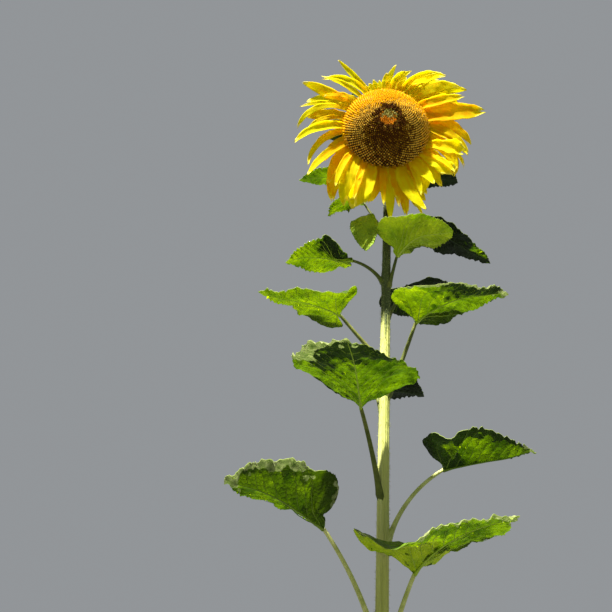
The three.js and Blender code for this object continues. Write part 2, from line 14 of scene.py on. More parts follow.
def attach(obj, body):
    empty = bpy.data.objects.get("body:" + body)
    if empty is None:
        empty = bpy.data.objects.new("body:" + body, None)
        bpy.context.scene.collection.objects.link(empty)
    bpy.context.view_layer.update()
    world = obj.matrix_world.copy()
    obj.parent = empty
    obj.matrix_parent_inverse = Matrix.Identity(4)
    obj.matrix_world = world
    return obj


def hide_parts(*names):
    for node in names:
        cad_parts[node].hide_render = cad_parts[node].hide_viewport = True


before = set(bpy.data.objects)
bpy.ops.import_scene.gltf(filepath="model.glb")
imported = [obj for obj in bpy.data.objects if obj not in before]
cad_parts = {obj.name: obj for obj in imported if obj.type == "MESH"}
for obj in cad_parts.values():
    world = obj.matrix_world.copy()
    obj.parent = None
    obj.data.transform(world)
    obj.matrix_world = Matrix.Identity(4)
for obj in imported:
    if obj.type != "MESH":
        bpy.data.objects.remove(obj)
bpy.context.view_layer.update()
BODY = "root"
DRAWS = np.random.default_rng(20)

# Camera, as the photograph was taken
CAMERA_PLACE = (-0.117, -1.100, 1.500)
CAMERA_PITCH = 30
CAMERA_ROLL = 3
FOCAL_PIXELS = 656
PHOTO_SIDE = 612
SENSOR_WIDTH = 36

# Stem
STEM_TOP = 2.440
STEM_LEAN = 0.045
LEAN_HEIGHT = 2.400
LEAN_POWER = 1.6
STEM_TIP_RADIUS = 0.0075
STEM_TAPER = 0.0065
TAPER_POWER = 0.9
FLARE = 0.007
FLARE_HEIGHT = 0.045
STEM_SIDES = 64
STEM_RINGS = 330
STEM_SHADE_STARTS = (2.09, 2.115, 2.35)  # heights from which the stem is painted one step deeper in shade
STEM_BRISTLES = 9000
STEM_BRISTLE = (0.0018, 0.0046, 0.00034)  # shortest, longest, and radius at the root
NODE_SWELL = 0.0022  # how far the stem swells under a stalk
NODE_HEIGHT = 0.016
NODE_TURN = 0.5  # radians round the stem
RIDGE_DEPTH = 0.06  # of the radius
RIDGES = 13

# Leaf stalks
STALK_RADIUS = 0.0024
STALK_GAIN = 1 / 90
STALK_TAPER = 0.3
STALK_SWELL = 0.5
SWELL_FADE = 9
STALK_ROOT = 0.014  # how far a stalk runs down inside the stem
STALK_ROOT_STEPS = 6
STALK_SIDES = 18
STALK_STEPS = 30
GROOVE_DEPTH = 0.22
GROOVE_WIDTH = 24  # degrees of the stalk's section
STALK_BRISTLES = 170
STALK_BRISTLE = (0.0008, 0.0020, 0.00014)  # as on the stem

# Leaf blades
BLADE_GRID = (96, 18)  # rows of squares, and columns on each half
PATCHED_GRID = (124, 26)
LOWER_GRID = (76, 15)
TEETH = 24
TOOTH_HEIGHT = 0.0026
ROW_BUNCHING = 1.7
COLUMN_BUNCHING = 1.3
WAVE_FREQUENCY = 1.6
MIDRIB_STEPS = 40
SHEET = 0.0008  # thickness of a blade
QUILT = 0.0040  # how far a blade swells between its side veins
PUCKER = 0.0012  # and between the small veins
SMALL_VEIN_GAP = 0.013
BROAD = (0.0042, 0.085)  # height and width of a blade's broad bumps
CRINKLE = (0.0016, 0.024)  # of its small ones
RUFFLE = (0.0028, 0.047)  # of its margin's ruffle
CRUMPLE = (0.0030, 0.020)  # and of its withered places
FLAT_MIDRIB = 0.006  # how far from the midrib a blade stays smooth
FLAT_BASE = 0.045  # and how far from its base
PATCH_STEPS = (0.32, 0.66)  # amounts from which a patch takes a middle tone, and its own
PATCH_MOTTLE = [(0.22, 0.020), (0.10, 0.008)]  # strength and width of its mottling
PATCH_BLEND = 0.13  # share of a blade over which a patch sets in
DRY_BLEND = 0.04  # and over which a withered one does
VEIN_STARTS = [0.0, 0.035, 0.15, 0.27, 0.385, 0.49, 0.59, 0.68, 0.77, 0.86]
VEIN_SLOPES = [0.32, 0.95, 0.95, 0.92, 0.9, 0.87, 0.84, 0.8, 0.78, 0.75]
VEIN_CURVE = 2.4  # how much a side vein bends towards the tip, for each metre from the midrib

MOVE_REACH = 0.032  # how far a move of a blade's margin is felt
PICTURE_UP = np.array([0, -0.5, 0.866])  # up, as the camera sees it

# Margin of one half of a blade, from the base round the lobe to the tip: shares of length and half width
MARGIN = np.array([[0, 0], [0.02, 0.14], [-0.02, 0.42], [0, 0.76], [0.14, 1], [0.34, 1],
                   [0.56, 0.82], [0.76, 0.52], [0.91, 0.22], [1, 0]])

# Leaves that the photograph shows, from low to high. Each row gives, in this order:
#   z, side: height and compass side where the stalk leaves the stem
#   stalk: length, rise at the stem, rise at the blade
#   size: length and width of the blade
#   turn, bend: turn of the blade from its stalk, and its further turn to the tip
#   pitch: rise of the midrib at the base and at the tip
#   left, right: fold of each half at the base, at the tip, and its curl to the margin
# and then by name:
#   wave: height of the margin's wave on the left, its first crest, then the same on the right
#   roll: turn of the blade about its midrib
#   tone: its colours, one of LEAF_COLOURS, which also paint the light or shade it stands in
#   pale_stalk: whether the stalk is painted lighter, as if it stood in the sun
#   dry, or a tone: withered patches, or painted light and shade, as half (0 for both), start, end, inner
#       edge
#   moves: where the blade leaves its rule, as share along and across, then millimetres right and up in
#     the photograph
LEAF_ROW = ["z", "side", "stalk", "size", "turn", "bend", "pitch", "left", "right"]
LEAF_PLAIN = {"wave": (0, 0, 0, 0), "roll": 0, "pale_stalk": False, "moves": []}


def leaf_of(*row, **more):
    """A leaf's numbers by name."""
    return LEAF_PLAIN | dict(zip(LEAF_ROW, row)) | more


UPPER_LEAVES = [
    leaf_of(1.540, -20, (0.125, 75, 64), (0.205, 0.200), -50, 40, (28, 8), (35, 15, -20), (20, -8, -10),
            wave=(0, 0, 0.020, 0.1), tone="fresh", pale_stalk=True,
            dry=[(0, 0.87, 1.1, 0), (-1, 0.12, 0.22, 0.86), (-1, 0.5, 1.0, 0.93)],
            pale=[(-1, -0.2, 0.42, 0), (1, -0.2, 0.16, 0)],
            moves=[(0.24, -1, -24, -8), (0.34, -0.98, 8, -7), (-0.02, -0.5, 5, 12), (0.04, -0.95, -8, 10),
                   (0.48, -0.85, 6, -5), (0.66, -0.68, 2, -10), (0.89, 0.25, 9, -2), (0.71, 0.6, 22, -13),
                   (0.48, 0.9, 19, -8), (0.04, 0.9, -12, 0)]),
    leaf_of(1.561, -158, (0.178, 70, 48), (0.178, 0.150), 3, 0, (27, 12), (55, 45, -25), (22, 15, -10),
            wave=(0.008, 0.15, 0.004, 0), tone="mild", pale_stalk=True,
            dry=[(1, 0.42, 1.1, 0.66), (0, 0.9, 1.1, 0), (1, -0.1, 0.1, 0.9)],
            fresh=[(-1, -0.1, 1.1, 0.1), (1, 0.28, 1.1, 0)], mild=[(1, -0.1, 1.1, 0.5)],
            moves=[(0.71, 0.6, -7, 9), (0.58, 0.8, 2, 5), (0.48, 0.9, 6, 16), (0.24, 1, 8, 7),
                   (0.13, 0.98, -16, -2), (0.04, 0.95, -20, -2), (-0.02, 0.5, -22, 2),
                   (0.71, -0.6, -10, -18), (0.92, -0.2, -6, -9), (0.24, -1, 2, 8)]),
    leaf_of(1.707, -5, (0.154, 72, 31), (0.162, 0.140), -42, 32, (0, 16), (40, 30, -10), (40, 33, -20),
            wave=(0, 0, 0.014, 0.08), tone="mild", pale_stalk=True, dry=[(0, 0.93, 1.1, 0)],
            fresh=[(-1, 0.3, 0.84, 0.1)],
            shade=[(0, -0.2, 0.24, 0), (-1, 0.2, 1.1, 0.76), (1, -0.1, 1.1, 0)],
            moves=[(0.04, -0.95, -12, 22), (0.12, -1, -3, -32), (0.24, -1, 7, -8), (0.36, -0.97, -6, 14),
                   (0.48, -0.9, -5, 20), (0.6, -0.8, -3, 3), (0.75, -0.5, 3, -12), (0.92, -0.1, -6, -5),
                   (0.5, 0, 0, -2), (0.75, 0, 0, -6), (0.85, 0.3, 0, -8)]),
    leaf_of(1.779, -135, (0.145, 76, 64), (0.210, 0.215), 35, 0, (16, -6), (42, 0, -25), (45, 0, -20),
            tone="fresh", dry=[(-1, 0.40, 0.92, 0.74), (0, 0.93, 1.1, 0)],
            shade=[(0, 0.62, 1.1, 0), (-1, 0.34, 0.7, 0.45)],
            moves=[(0.75, -0.6, -16, 16), (0.5, -0.9, -12, 9), (0.24, -1, -12, 11), (0.92, -0.2, -8, 12),
                   (0.24, 1, -1, -12), (0.5, 0.9, -7, -2), (0.71, 0.6, -4, -6)]),
    leaf_of(1.905, 98, (0.090, 66, 58), (0.135, 0.120), -50, -25, (26, -2), (20, 0, -20), (32, 4, -20),
            wave=(0.004, 0.2, 0.004, 0.4), tone="deep"),
    leaf_of(1.960, -24, (0.146, 67, 70), (0.185, 0.150), -22, 42, (24, -2), (32, 0, -20), (22, 6, -20),
            wave=(0, 0, 0.008, 0.05), tone="fresh", dry=[(0, 0.93, 1.1, 0), (-1, 0.3, 1.0, 0.95)],
            bright=[(-1, -0.1, 0.3, 0.1)], mild=[(-1, 0.36, 1.1, 0)], shade=[(-1, 0.46, 1.1, 0.08)],
            moves=[(0.04, -0.95, -5, 12), (0.24, -1, -16, 2), (-0.02, -0.5, 0, 8), (0.48, -0.9, 0, -11),
                   (0.71, -0.6, 0, -17), (0.92, 0, -4, -4), (0.24, 1, 0, -12), (0.04, 0.9, 0, 0),
                   (0.71, 0.6, 0, -3), (0.89, 0.3, 0, -5)]),
    leaf_of(2.025, -165, (0.113, 43, 47), (0.168, 0.120), 12, -22, (9, 5), (20, 14, -20), (22, 12, -20),
            wave=(0.012, 0, 0.008, -0.1), tone="bright",
            moves=[(0.71, 0.6, 0, -18), (0.48, 0.9, 0, -19), (0.26, 1, 22, -3), (0.1, 1, 14, 7),
                   (-0.02, 0.5, -8, 12), (1, 0, 4, -4), (0.71, -0.6, 0, -6), (0, -0.6, 16, -14)]),
    leaf_of(2.120, 50, (0.140, 60, 52), (0.125, 0.140), 15, 0, (4, -18), (15, 0, -20), (15, 0, -20),
            roll=-15, tone="deep",
            moves=[(-0.02, -0.5, 11, -6), (0.04, -0.95, 11, -6), (0.24, -1, 14, -11)]),
    leaf_of(2.190, -40, (0.062, 74, 72), (0.125, 0.152), -10, 50, (42, 3), (38, 10, -20), (18, 10, -20),
            tone="pale", bright=[(-1, 0.42, 0.84, 0.78), (1, 0.1, 0.5, 0.5)],
            moves=[(0.04, -0.95, 5, 30), (-0.02, -0.5, 18, 5), (0.24, -1, 0, 4), (0.5, -0.9, 0, -1),
                   (0.71, -0.6, 0, -5), (0.89, 0.3, 12, -12), (0.71, 0.6, 28, -18), (0.48, 0.9, 12, -1),
                   (0.24, 1, -5, 12), (0.04, 0.9, -9, 18)]),
    leaf_of(2.200, 180, (0.076, 62, 15), (0.140, 0.105), 8, 0, (2, -25), (25, 10, -20), (12, 8, -20),
            wave=(0.006, 0.3, 0, 0), tone="bright", shade=[(1, 0.02, 0.42, 0.2)],
            moves=[(0.48, 0.9, -15, 10), (0.24, 1, -22, 4), (0.04, 0.95, -24, -19), (-0.02, 0.5, -17, -18),
                   (0.75, 0.5, -5, 8), (0.04, -0.9, 0, 5), (0.5, -0.9, 0, -5)]),
    leaf_of(2.315, 25, (0.095, 60, 20), (0.200, 0.110), 0, 0, (-2, -20), (15, 0, -20), (15, 0, -20),
            wave=(0.005, 0.1, 0.005, 0.2), tone="deep", fresh=[(-1, 0.66, 0.84, 0.3)],
            moves=[(0.04, -0.95, 0, -12), (0.24, -1, 0, -16), (0.48, -0.9, -3, -11), (0.71, -0.6, -3, -9)]),
    leaf_of(2.328, 165, (0.087, 60, 65), (0.090, 0.062), 10, 0, (5, -60), (30, 0, -20), (10, 0, -20),
            tone="bright",
            moves=[(0.24, 1, 0, -12), (0.48, 0.9, -5, -9), (0.71, 0.6, -16, 7), (0.9, 0.3, -7, 13),
                   (0.48, -0.9, 0, 11), (0.24, -1, -8, 15), (0.04, -0.9, -6, 9), (1, 0, 8, -5)]),
    leaf_of(2.316, -138, (0.054, 36, 5), (0.095, 0.066), 15, 0, (-60, -85), (5, 0, -20), (5, 0, -20),
            tone="sunny",
            moves=[(1, 0, 10, -14), (0.71, 0.6, 11, -14), (0.45, 0.9, 2, -20), (0.12, 1, -9, -16)]),
    leaf_of(2.425, 20, (0.090, 72, 40), (0.130, 0.120), 0, 0, (20, 0), (20, 0, -20), (20, 0, -20),
            wave=(0.004, 0, 0.004, 0), tone="deep"),
    leaf_of(2.425, 160, (0.090, 66, 30), (0.142, 0.080), 0, 0, (14, 2), (20, 0, -20), (20, 0, -20),
            wave=(0.003, 0.2, 0.003, 0), tone="fresh"),
]

# Leaves below the photograph: bigger, further apart and drooping, turned by the golden angle
LOWER_LEAVES = 10
LOWER_TOP = 1.425
LOWER_SPACING = 0.112
LOWER_FIRST_SIDE = 95
GOLDEN_ANGLE = 137.5

# Bloom
HEAD_CENTRE = np.array([0.030, -0.105, 2.512])
HEAD_NOD = 15
DISC_RADIUS = 0.087
DISC_DOME = 0.045
DOME_POWERS = (2.4, 0.8)
DIMPLE_DEPTH = 0.0035
DIMPLE_WIDTH = 0.22
DISC_BACK = 0.004
PLATE_THICKNESS = 0.006
PLATE_RADIUS = 0.092
CLEAR = 0.0003
RECEPTACLE_RADIUS = 0.088
RECEPTACLE_DEPTH = 0.034
RECEPTACLE_CUP = [(0.45, 0.82), (0.8, 0.5), (1, 0.24)]
NECK_RADIUS = 0.009
NECK_END_RADIUS = 0.013
NECK_STEPS = 60
NECK_SIDES = 48
NECK_BRISTLES = 700
NECK_BRISTLE = (0.0012, 0.0030, 0.00015)
NECK_RIDGE_DEPTH = 0.03
ROUND_SIDES = 72  # sides of the disc, the plate and the cup
PETAL_START = DISC_RADIUS + 0.0015
PETAL_ROOT = 0.006  # how much further in the petals are rooted here than in the solids
BRACTS = 18
FLORETS = 1700
FLORET_TURN = 137.508  # from each floret to the next

# Ray petals: angle round the rim, length, width, sideways lean at the root and at the tip, rise from
# the face at the root and at the tip, and tone from 0 for yellow to 2 for orange
# The orange tone is partly the petals' own, partly painted shade on petals that lie in shadow
PETALS = [
    (112, 0.112, 0.014, 13, 21, -4, -8, 0), (117, 0.114, 0.018, 2, 76, -2, -4, 0),
    (124, 0.106, 0.014, 12, 40, 2, -2, 0), (132, 0.076, 0.014, 16, 70, 10, 4, 1),
    (140, 0.104, 0.023, 14, 66, 4, 0, 0), (146, 0.118, 0.026, 0, 18, 6, 6, 1),
    (152, 0.142, 0.014, 4, 108, 14, 4, 0), (160, 0.088, 0.028, 8, 44, 2, 0, 2),
    (171, 0.074, 0.018, 12, 44, -6, -5, 1), (178, 0.124, 0.025, 6, 58, 16, 10, 0),
    (183, 0.066, 0.014, 14, 40, 4, 10, 2), (187, 0.130, 0.013, 6, 84, 12, 8, 1),
    (196, 0.074, 0.020, 16, 60, 4, 6, 2), (203, 0.132, 0.020, 12, 44, 20, 10, 1),
    (208, 0.104, 0.024, 24, 54, 12, 4, 2), (213, 0.128, 0.034, 20, 62, 4, -4, 2),
    (220, 0.096, 0.020, 22, 50, 20, 10, 1), (227, 0.136, 0.044, 22, 50, 34, -6, 0),
    (236, 0.096, 0.026, 28, 14, 12, 6, 2), (246, 0.096, 0.028, 10, 2, 16, 12, 1),
    (253, 0.122, 0.040, 8, -14, 34, 0, 0), (264, 0.080, 0.022, 0, -10, 10, 4, 2),
    (269, 0.078, 0.018, 0, 0, 24, 10, 1), (272, 0.130, 0.022, 4, -2, 22, 2, 0),
    (279, 0.090, 0.016, -2, -4, 24, 12, 0), (285, 0.112, 0.023, 0, -4, 6, -4, 2),
    (291, 0.094, 0.022, 0, 2, 20, 12, 1), (295, 0.138, 0.030, -32, 20, 28, 16, 0),
    (303, 0.082, 0.024, 0, -10, 8, 2, 2), (310, 0.090, 0.028, -14, -8, 32, 22, 0),
    (312, 0.110, 0.020, 12, -86, 22, 12, 0), (325, 0.092, 0.034, -8, -8, 28, 18, 0),
    (333, 0.070, 0.024, -6, -30, 10, 4, 1), (341, 0.090, 0.034, -6, 4, 28, 18, 0),
    (343, 0.106, 0.024, 12, -80, 14, 6, 1), (346, 0.112, 0.028, 12, -92, 2, -4, 2),
    (352, 0.074, 0.020, -26, -34, 10, 6, 1), (358, 0.070, 0.020, -32, -26, 12, 8, 2),
    (7, 0.108, 0.022, -26, -66, 12, 8, 1), (13, 0.114, 0.016, -26, -76, 14, 6, 1),
    (12, 0.104, 0.028, -10, -76, -4, -8, 2), (24, 0.130, 0.046, -12, -26, 8, 0, 2),
    (17, 0.114, 0.028, -2, -74, -2, -6, 2), (36, 0.096, 0.026, -24, -30, -4, -6, 1),
    (50, 0.122, 0.016, 2, -100, -2, -8, 0), (42, 0.104, 0.026, -22, -30, 8, 2, 1),
    (54, 0.134, 0.026, -12, -54, -4, -8, 0), (58, 0.124, 0.028, -14, -60, 6, -4, 0),
    (64, 0.120, 0.032, 12, -70, -2, -8, 0), (68, 0.088, 0.028, -4, -50, -6, -12, 0),
    (74, 0.058, 0.024, 4, -70, 4, -6, 0), (78, 0.058, 0.018, 10, -40, -4, -12, 1),
    (82, 0.066, 0.017, 8, -44, 6, -2, 0), (87, 0.048, 0.016, 6, -24, -6, -8, 0),
    (46, 0.090, 0.034, -8, -30, -8, -10, 1), (61, 0.104, 0.034, -6, -40, -8, -12, 0),
    (232, 0.108, 0.034, 24, 40, -4, -8, 1), (242, 0.088, 0.034, 18, 20, -2, -6, 1),
    (251, 0.084, 0.034, 8, 0, 0, -4, 2), (261, 0.082, 0.030, 2, -10, 0, -4, 1),
    (299, 0.100, 0.024, -22, 0, -2, -6, 2), (31, 0.096, 0.030, -16, -30, -8, -8, 2),
    (322, 0.084, 0.026, -4, -20, -4, -6, 1), (300, 0.090, 0.024, -10, 4, -2, -4, 1),
    (92, 0.046, 0.017, 0, -10, 4, 6, 0), (97, 0.032, 0.014, -4, 6, -4, 0, 0),
    (102, 0.032, 0.016, 0, 10, 4, 10, 0), (108, 0.028, 0.014, -8, 14, -2, 6, 0),
    (113, 0.024, 0.014, -8, 6, -4, 8, 0), (89, 0.070, 0.013, 4, -30, 2, 10, 0),
    (80, 0.074, 0.014, 10, -54, -2, 4, 0), (70, 0.104, 0.016, 4, -66, 4, -2, 0),
    (150, 0.112, 0.012, 6, 60, 8, 2, 0), (166, 0.092, 0.013, 4, 70, 10, 8, 1),
    (289, 0.126, 0.013, 2, 4, 16, 4, 1), (306, 0.104, 0.014, -18, -30, 26, 24, 0),
    (266, 0.104, 0.014, 4, 6, 30, 6, 2), (240, 0.118, 0.014, 16, 20, 38, 6, 2),
    (219, 0.116, 0.014, 18, 44, 34, 6, 1), (277, 0.112, 0.013, 2, 2, 28, 6, 2),
    (330, 0.100, 0.014, -4, -30, 30, 16, 1), (350, 0.112, 0.014, 4, -70, 12, 6, 0),
]


# Numbers and vectors

def mix(low, high, share):
    return low + (high - low) * share


def unit(vectors):
    return vectors / np.maximum(np.linalg.norm(vectors, axis=-1, keepdims=True), 1e-9)


def direction(side, rise):
    """Unit vectors with this compass angle from +X and this rise."""
    side, rise = np.broadcast_arrays(np.radians(side), np.radians(rise))
    return np.stack([np.cos(rise) * np.cos(side), np.cos(rise) * np.sin(side), np.sin(rise)], -1)


def along_line(points, shares, share):
    """Places on a line of points, at shares of its length."""
    return np.stack([np.interp(share, shares, points[:, axis]) for axis in range(points.shape[1])], -1)


def around(count):
    """Angles of this many points round a ring."""
    return np.linspace(0, 2 * np.pi, count, endpoint=False)


def middles_of(steps):
    """Shares of a line at the middle of each of its steps."""
    return (np.arange(steps) + 0.5) / steps


def walk(start, moves):
    """Points of a line that starts here and makes these moves in turn."""
    return start + np.concatenate([np.zeros((1, 3)), np.cumsum(moves, 0)])


def spoke(growth, across, nearest, turn):
    """Directions out from a line at its nearest points, turned about it."""
    second = np.cross(growth, across)
    return np.cos(turn)[:, None] * across[nearest] + np.sin(turn)[:, None] * second[nearest]


def smooth_step(low, high, value):
    share = np.clip((value - low) / (high - low), 0, 1)
    return share * share * (3 - 2 * share)


def bumps(points, wavelength, seed, waves=14):
    """Smooth random relief between about -1 and 1, made of plane waves in every direction."""
    draws = np.random.default_rng(seed)
    total = np.zeros(points.shape[:-1])
    for _ in range(waves):
        along = unit(draws.normal(size=points.shape[-1])) * draws.uniform(0.6, 1.6)
        total += np.sin(points @ along * (2 * np.pi / wavelength) + draws.uniform(0, 2 * np.pi))
    return total / math.sqrt(waves)


# Meshes

class Shape:
    """Points and faces gathered for one piece. Each face has the number of its material."""

    def __init__(self):
        self.points = []
        self.faces = []
        self.paint = []
        self.count = 0

    def add(self, points, faces, paint=0):
        """Adds faces, an array of rows of corners counted from the first of these points."""
        points = np.asarray(points, float).reshape(-1, 3)
        self.points.append(points)
        self.grow(faces + self.count, paint)
        self.count += len(points)

    def grow(self, faces, paint=0):
        """Adds faces on points that the shape already has."""
        self.faces.append(np.asarray(faces))
        self.paint.append(np.broadcast_to(paint, len(faces)))

    def make(self, name, materials, slot, *nodes):
        """Makes the piece, which rides on the plant's body and replaces these nodes of the solids."""
        sizes = np.concatenate([np.full(len(f), f.shape[1]) for f in self.faces])
        corners = np.concatenate([f.ravel() for f in self.faces])
        mesh = bpy.data.meshes.new(name)
        mesh.vertices.add(self.count)
        mesh.vertices.foreach_set("co", np.concatenate(self.points).ravel())
        mesh.loops.add(len(corners))
        mesh.loops.foreach_set("vertex_index", corners.astype(np.int32))
        mesh.polygons.add(len(sizes))
        mesh.polygons.foreach_set("loop_start", (np.cumsum(sizes) - sizes).astype(np.int32))
        mesh.polygons.foreach_set("material_index", np.concatenate(self.paint).astype(np.int32))
        mesh.update(calc_edges=True)
        mesh.shade_smooth()
        for material in materials:
            mesh.materials.append(material)
        piece = bpy.data.objects.new(name, mesh)
        bpy.context.scene.collection.objects.link(piece)
        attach(piece, BODY)
        if nodes:
            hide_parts(*nodes)
        return piece


def grid_faces(rows, columns, closed=False):
    """Corners of the squares between rows of points, each row joined to its own start if closed."""
    row, column = np.meshgrid(np.arange(rows - 1), np.arange(columns if closed else columns - 1),
                              indexing="ij")
    beside = (column + 1) % columns
    corners = [row * columns + column, row * columns + beside,
               (row + 1) * columns + beside, (row + 1) * columns + column]
    return np.stack(corners, -1).reshape(-1, 4)


def grid_triangles(rows, columns):
    """Corners of the triangles between rows of points, cut one way and the other by turns."""
    squares = grid_faces(rows, columns)
    flip = ((squares[:, 0] // columns + squares[:, 0] % columns) % 2 == 1)[:, None]
    first = np.where(flip, squares[:, [1, 2, 3]], squares[:, [0, 1, 2]])
    second = np.where(flip, squares[:, [1, 3, 0]], squares[:, [0, 2, 3]])
    return np.stack([first, second], 1).reshape(-1, 3)


def rings(centres, growth, across, radii, sides):
    """Rings of points about a line. radii has one value a ring, or one a point."""
    angles = around(sides)
    second = np.cross(growth, across)
    radii = np.asarray(radii, float)
    if radii.ndim == 1:
        radii = radii[:, None]
    spokes = np.cos(angles)[:, None] * across[:, None] + np.sin(angles)[:, None] * second[:, None]
    return centres[:, None] + radii[..., None] * spokes


def add_tube(shape, points, paint=0):
    """Adds rings of points as a tube with flat ends."""
    count, sides = points.shape[:2]
    first = shape.count
    shape.add(points, grid_faces(count, sides, closed=True), paint)
    ends = np.stack([np.arange(sides)[::-1], (count - 1) * sides + np.arange(sides)])
    shape.grow(ends + first, np.ravel(paint)[[0, -1]])


def add_cord(shape, centres, radii, sides, paint=0):
    """Adds a thin round tube along a line of points."""
    growth = unit(np.gradient(centres, axis=0))
    across = unit(np.cross(growth, np.array([0.31, 0.52, 0.79])))
    add_tube(shape, rings(centres, growth, across, radii, sides), paint)


def softened(vectors, times=12):
    """Vectors of a grid, each averaged with its neighbours."""
    for _ in range(times):
        wide = np.pad(vectors, [(1, 1), (0, 0), (0, 0)], mode="edge")
        vectors = wide[:-2] + 2 * wide[1:-1] + wide[2:]
        wide = np.pad(vectors, [(0, 0), (1, 1), (0, 0)], mode="edge")
        vectors = wide[:, :-2] + 2 * wide[:, 1:-1] + wide[:, 2:]
    return vectors


def add_sheet(shape, points, thickness, over, under, rim):
    """Adds a thin closed sheet on a grid of points. over, under and rim are its materials.

    With two materials for each square, the squares are cut into triangles.
    """
    rows, columns = points.shape[:2]
    along = np.gradient(points, axis=0)
    beside = np.gradient(points, axis=1)
    offset = unit(softened(np.cross(beside, along))) * (thickness / 2)
    first = shape.count
    faces = grid_faces(rows, columns)
    if np.size(over) == 2 * len(faces):
        faces = grid_triangles(rows, columns)
    shape.add(points + offset, faces, over)
    shape.add(points - offset, faces[:, ::-1], under)
    index = np.arange(rows * columns).reshape(rows, columns)
    edge = np.concatenate([index[0, :-1], index[:-1, -1], index[-1, :0:-1], index[:0:-1, 0]]) + first
    after = np.roll(edge, -1)
    below = rows * columns
    shape.grow(np.stack([after, edge, edge + below, after + below], -1), rim)


def add_bristles(shape, roots, outward, kind, paint=0):
    """Adds three-sided spikes that stand on a surface."""
    shortest, longest, width = kind
    lengths = DRAWS.uniform(shortest, longest, len(roots))
    sideways = unit(np.cross(outward, np.array([0.31, 0.52, 0.79])))
    second = np.cross(outward, sideways)
    corners = []
    for turn in np.radians([0, 120, 240]):
        spread = math.cos(turn) * sideways + math.sin(turn) * second
        corners.append(roots + spread * width - outward * width)
    tips = roots + outward * lengths[:, None]
    points = np.stack([*corners, tips], 1)
    base = 4 * np.arange(len(roots))[:, None]
    faces = np.concatenate([base + [0, 1, 3], base + [1, 2, 3], base + [2, 0, 3]])
    shape.add(points, faces, paint)


# Materials

CELL_EDGE = 0.18  # share of a cell, from its edge, over which a leaf swells between its smallest veins
CELL_SWELL = 1.6  # how strong that swelling is, beside the fine relief


def linear(red, green, blue):
    """A colour as it looks on screen, from 0 to 255, as the shader's own numbers."""
    shares = [value / 255 for value in (red, green, blue)]
    return [((s + 0.055) / 1.055) ** 2.4 if s > 0.04045 else s / 12.92 for s in shares] + [1]


def feed(tree, node, inputs):
    """Gives a node its inputs. Each is a number, or what another node puts out."""
    for name, value in inputs.items():
        if isinstance(value, bpy.types.NodeSocket):
            tree.links.new(value, node.inputs[name])
        else:
            node.inputs[name].default_value = value


def add_node(tree, kind, inputs, output):
    """Adds a node with its inputs, and gives back one of its outputs."""
    node = tree.nodes.new("ShaderNode" + kind)
    feed(tree, node, inputs)
    return node.outputs[output]


def add_ramp(tree, value, colours, low, high):
    """Colours dealt out by a value, from dark to light."""
    node = tree.nodes.new("ShaderNodeValToRGB")
    feed(tree, node, {"Fac": value})
    stops = node.color_ramp.elements
    stops[0].position, stops[1].position = low, high
    stops[0].color, stops[1].color = linear(*colours[0]), linear(*colours[-1])
    if len(colours) == 3:
        stops.new((low + high) / 2).color = linear(*colours[1])
    return node.outputs["Color"]


def add_cells(tree, place, height, cells):
    """A net of small veins added to a relief: the cells between them swell."""
    net = tree.nodes.new("ShaderNodeTexVoronoi")
    net.feature = "DISTANCE_TO_EDGE"
    feed(tree, net, {"Scale": cells, "Vector": place})
    swell = {"From Max": CELL_EDGE, "To Max": CELL_SWELL, "Value": net.outputs["Distance"]}
    return add_node(tree, "Math", {0: add_node(tree, "MapRange", swell, "Result"), 1: height}, "Value")


def finish_of(name, colours, grain, stretch=(1, 1, 1), detail=4, rough=0.6, shine=0.3, bump=0.2,
              bump_grain=None, through=None, share=0.4, cells=0):
    """A patterned material. colours run from dark to light, and through is what shines through."""
    material = bpy.data.materials.new(name)
    material.use_nodes = True
    tree = material.node_tree
    place = add_node(tree, "TexCoord", {}, "Object")
    stretched = add_node(tree, "Mapping", {"Vector": place, "Scale": stretch}, "Vector")
    noise = {"Vector": stretched, "Scale": grain, "Detail": detail, "Roughness": 0.65}
    pattern = add_node(tree, "TexNoise", noise, "Fac")
    fine = {"Vector": stretched, "Scale": bump_grain or grain * 4, "Detail": 3}
    height = add_node(tree, "TexNoise", fine, "Fac")
    if cells:
        height = add_cells(tree, place, height, cells)
    relief = add_node(tree, "Bump", {"Strength": bump, "Distance": 0.001, "Height": height}, "Normal")
    shader = tree.nodes["Principled BSDF"]
    feed(tree, shader, {"Roughness": rough, "Specular IOR Level": shine, "Normal": relief,
                        "Base Color": add_ramp(tree, pattern, colours, 0.3, 0.7)})
    if through:
        light = {"Color": add_ramp(tree, pattern, through, 0.32, 0.68), "Normal": relief}
        glow = add_node(tree, "BsdfTranslucent", light, "BSDF")
        both = add_node(tree, "MixShader", {"Fac": share, 1: shader.outputs["BSDF"], 2: glow}, "Shader")
        feed(tree, tree.nodes["Material Output"], {"Surface": both})
    return material


def stem_finish(name, colours):
    return finish_of(name, colours, 60, stretch=(1, 1, 0.05), bump=0.4, bump_grain=420)


def stalk_finish(name, colours):
    return finish_of(name, colours, 40, bump=0.3, bump_grain=500, rough=0.58)


def leaf_finish(name, colours, through, share):
    return finish_of(name, colours, 26, detail=3, rough=0.55, bump=0.6, bump_grain=240, through=through,
                     share=share, cells=130)


def petal_finish(name, colours, through):
    return finish_of(name, colours, 55, rough=0.7, shine=0.04, bump=0.3, bump_grain=300, through=through,
                     share=0.7)
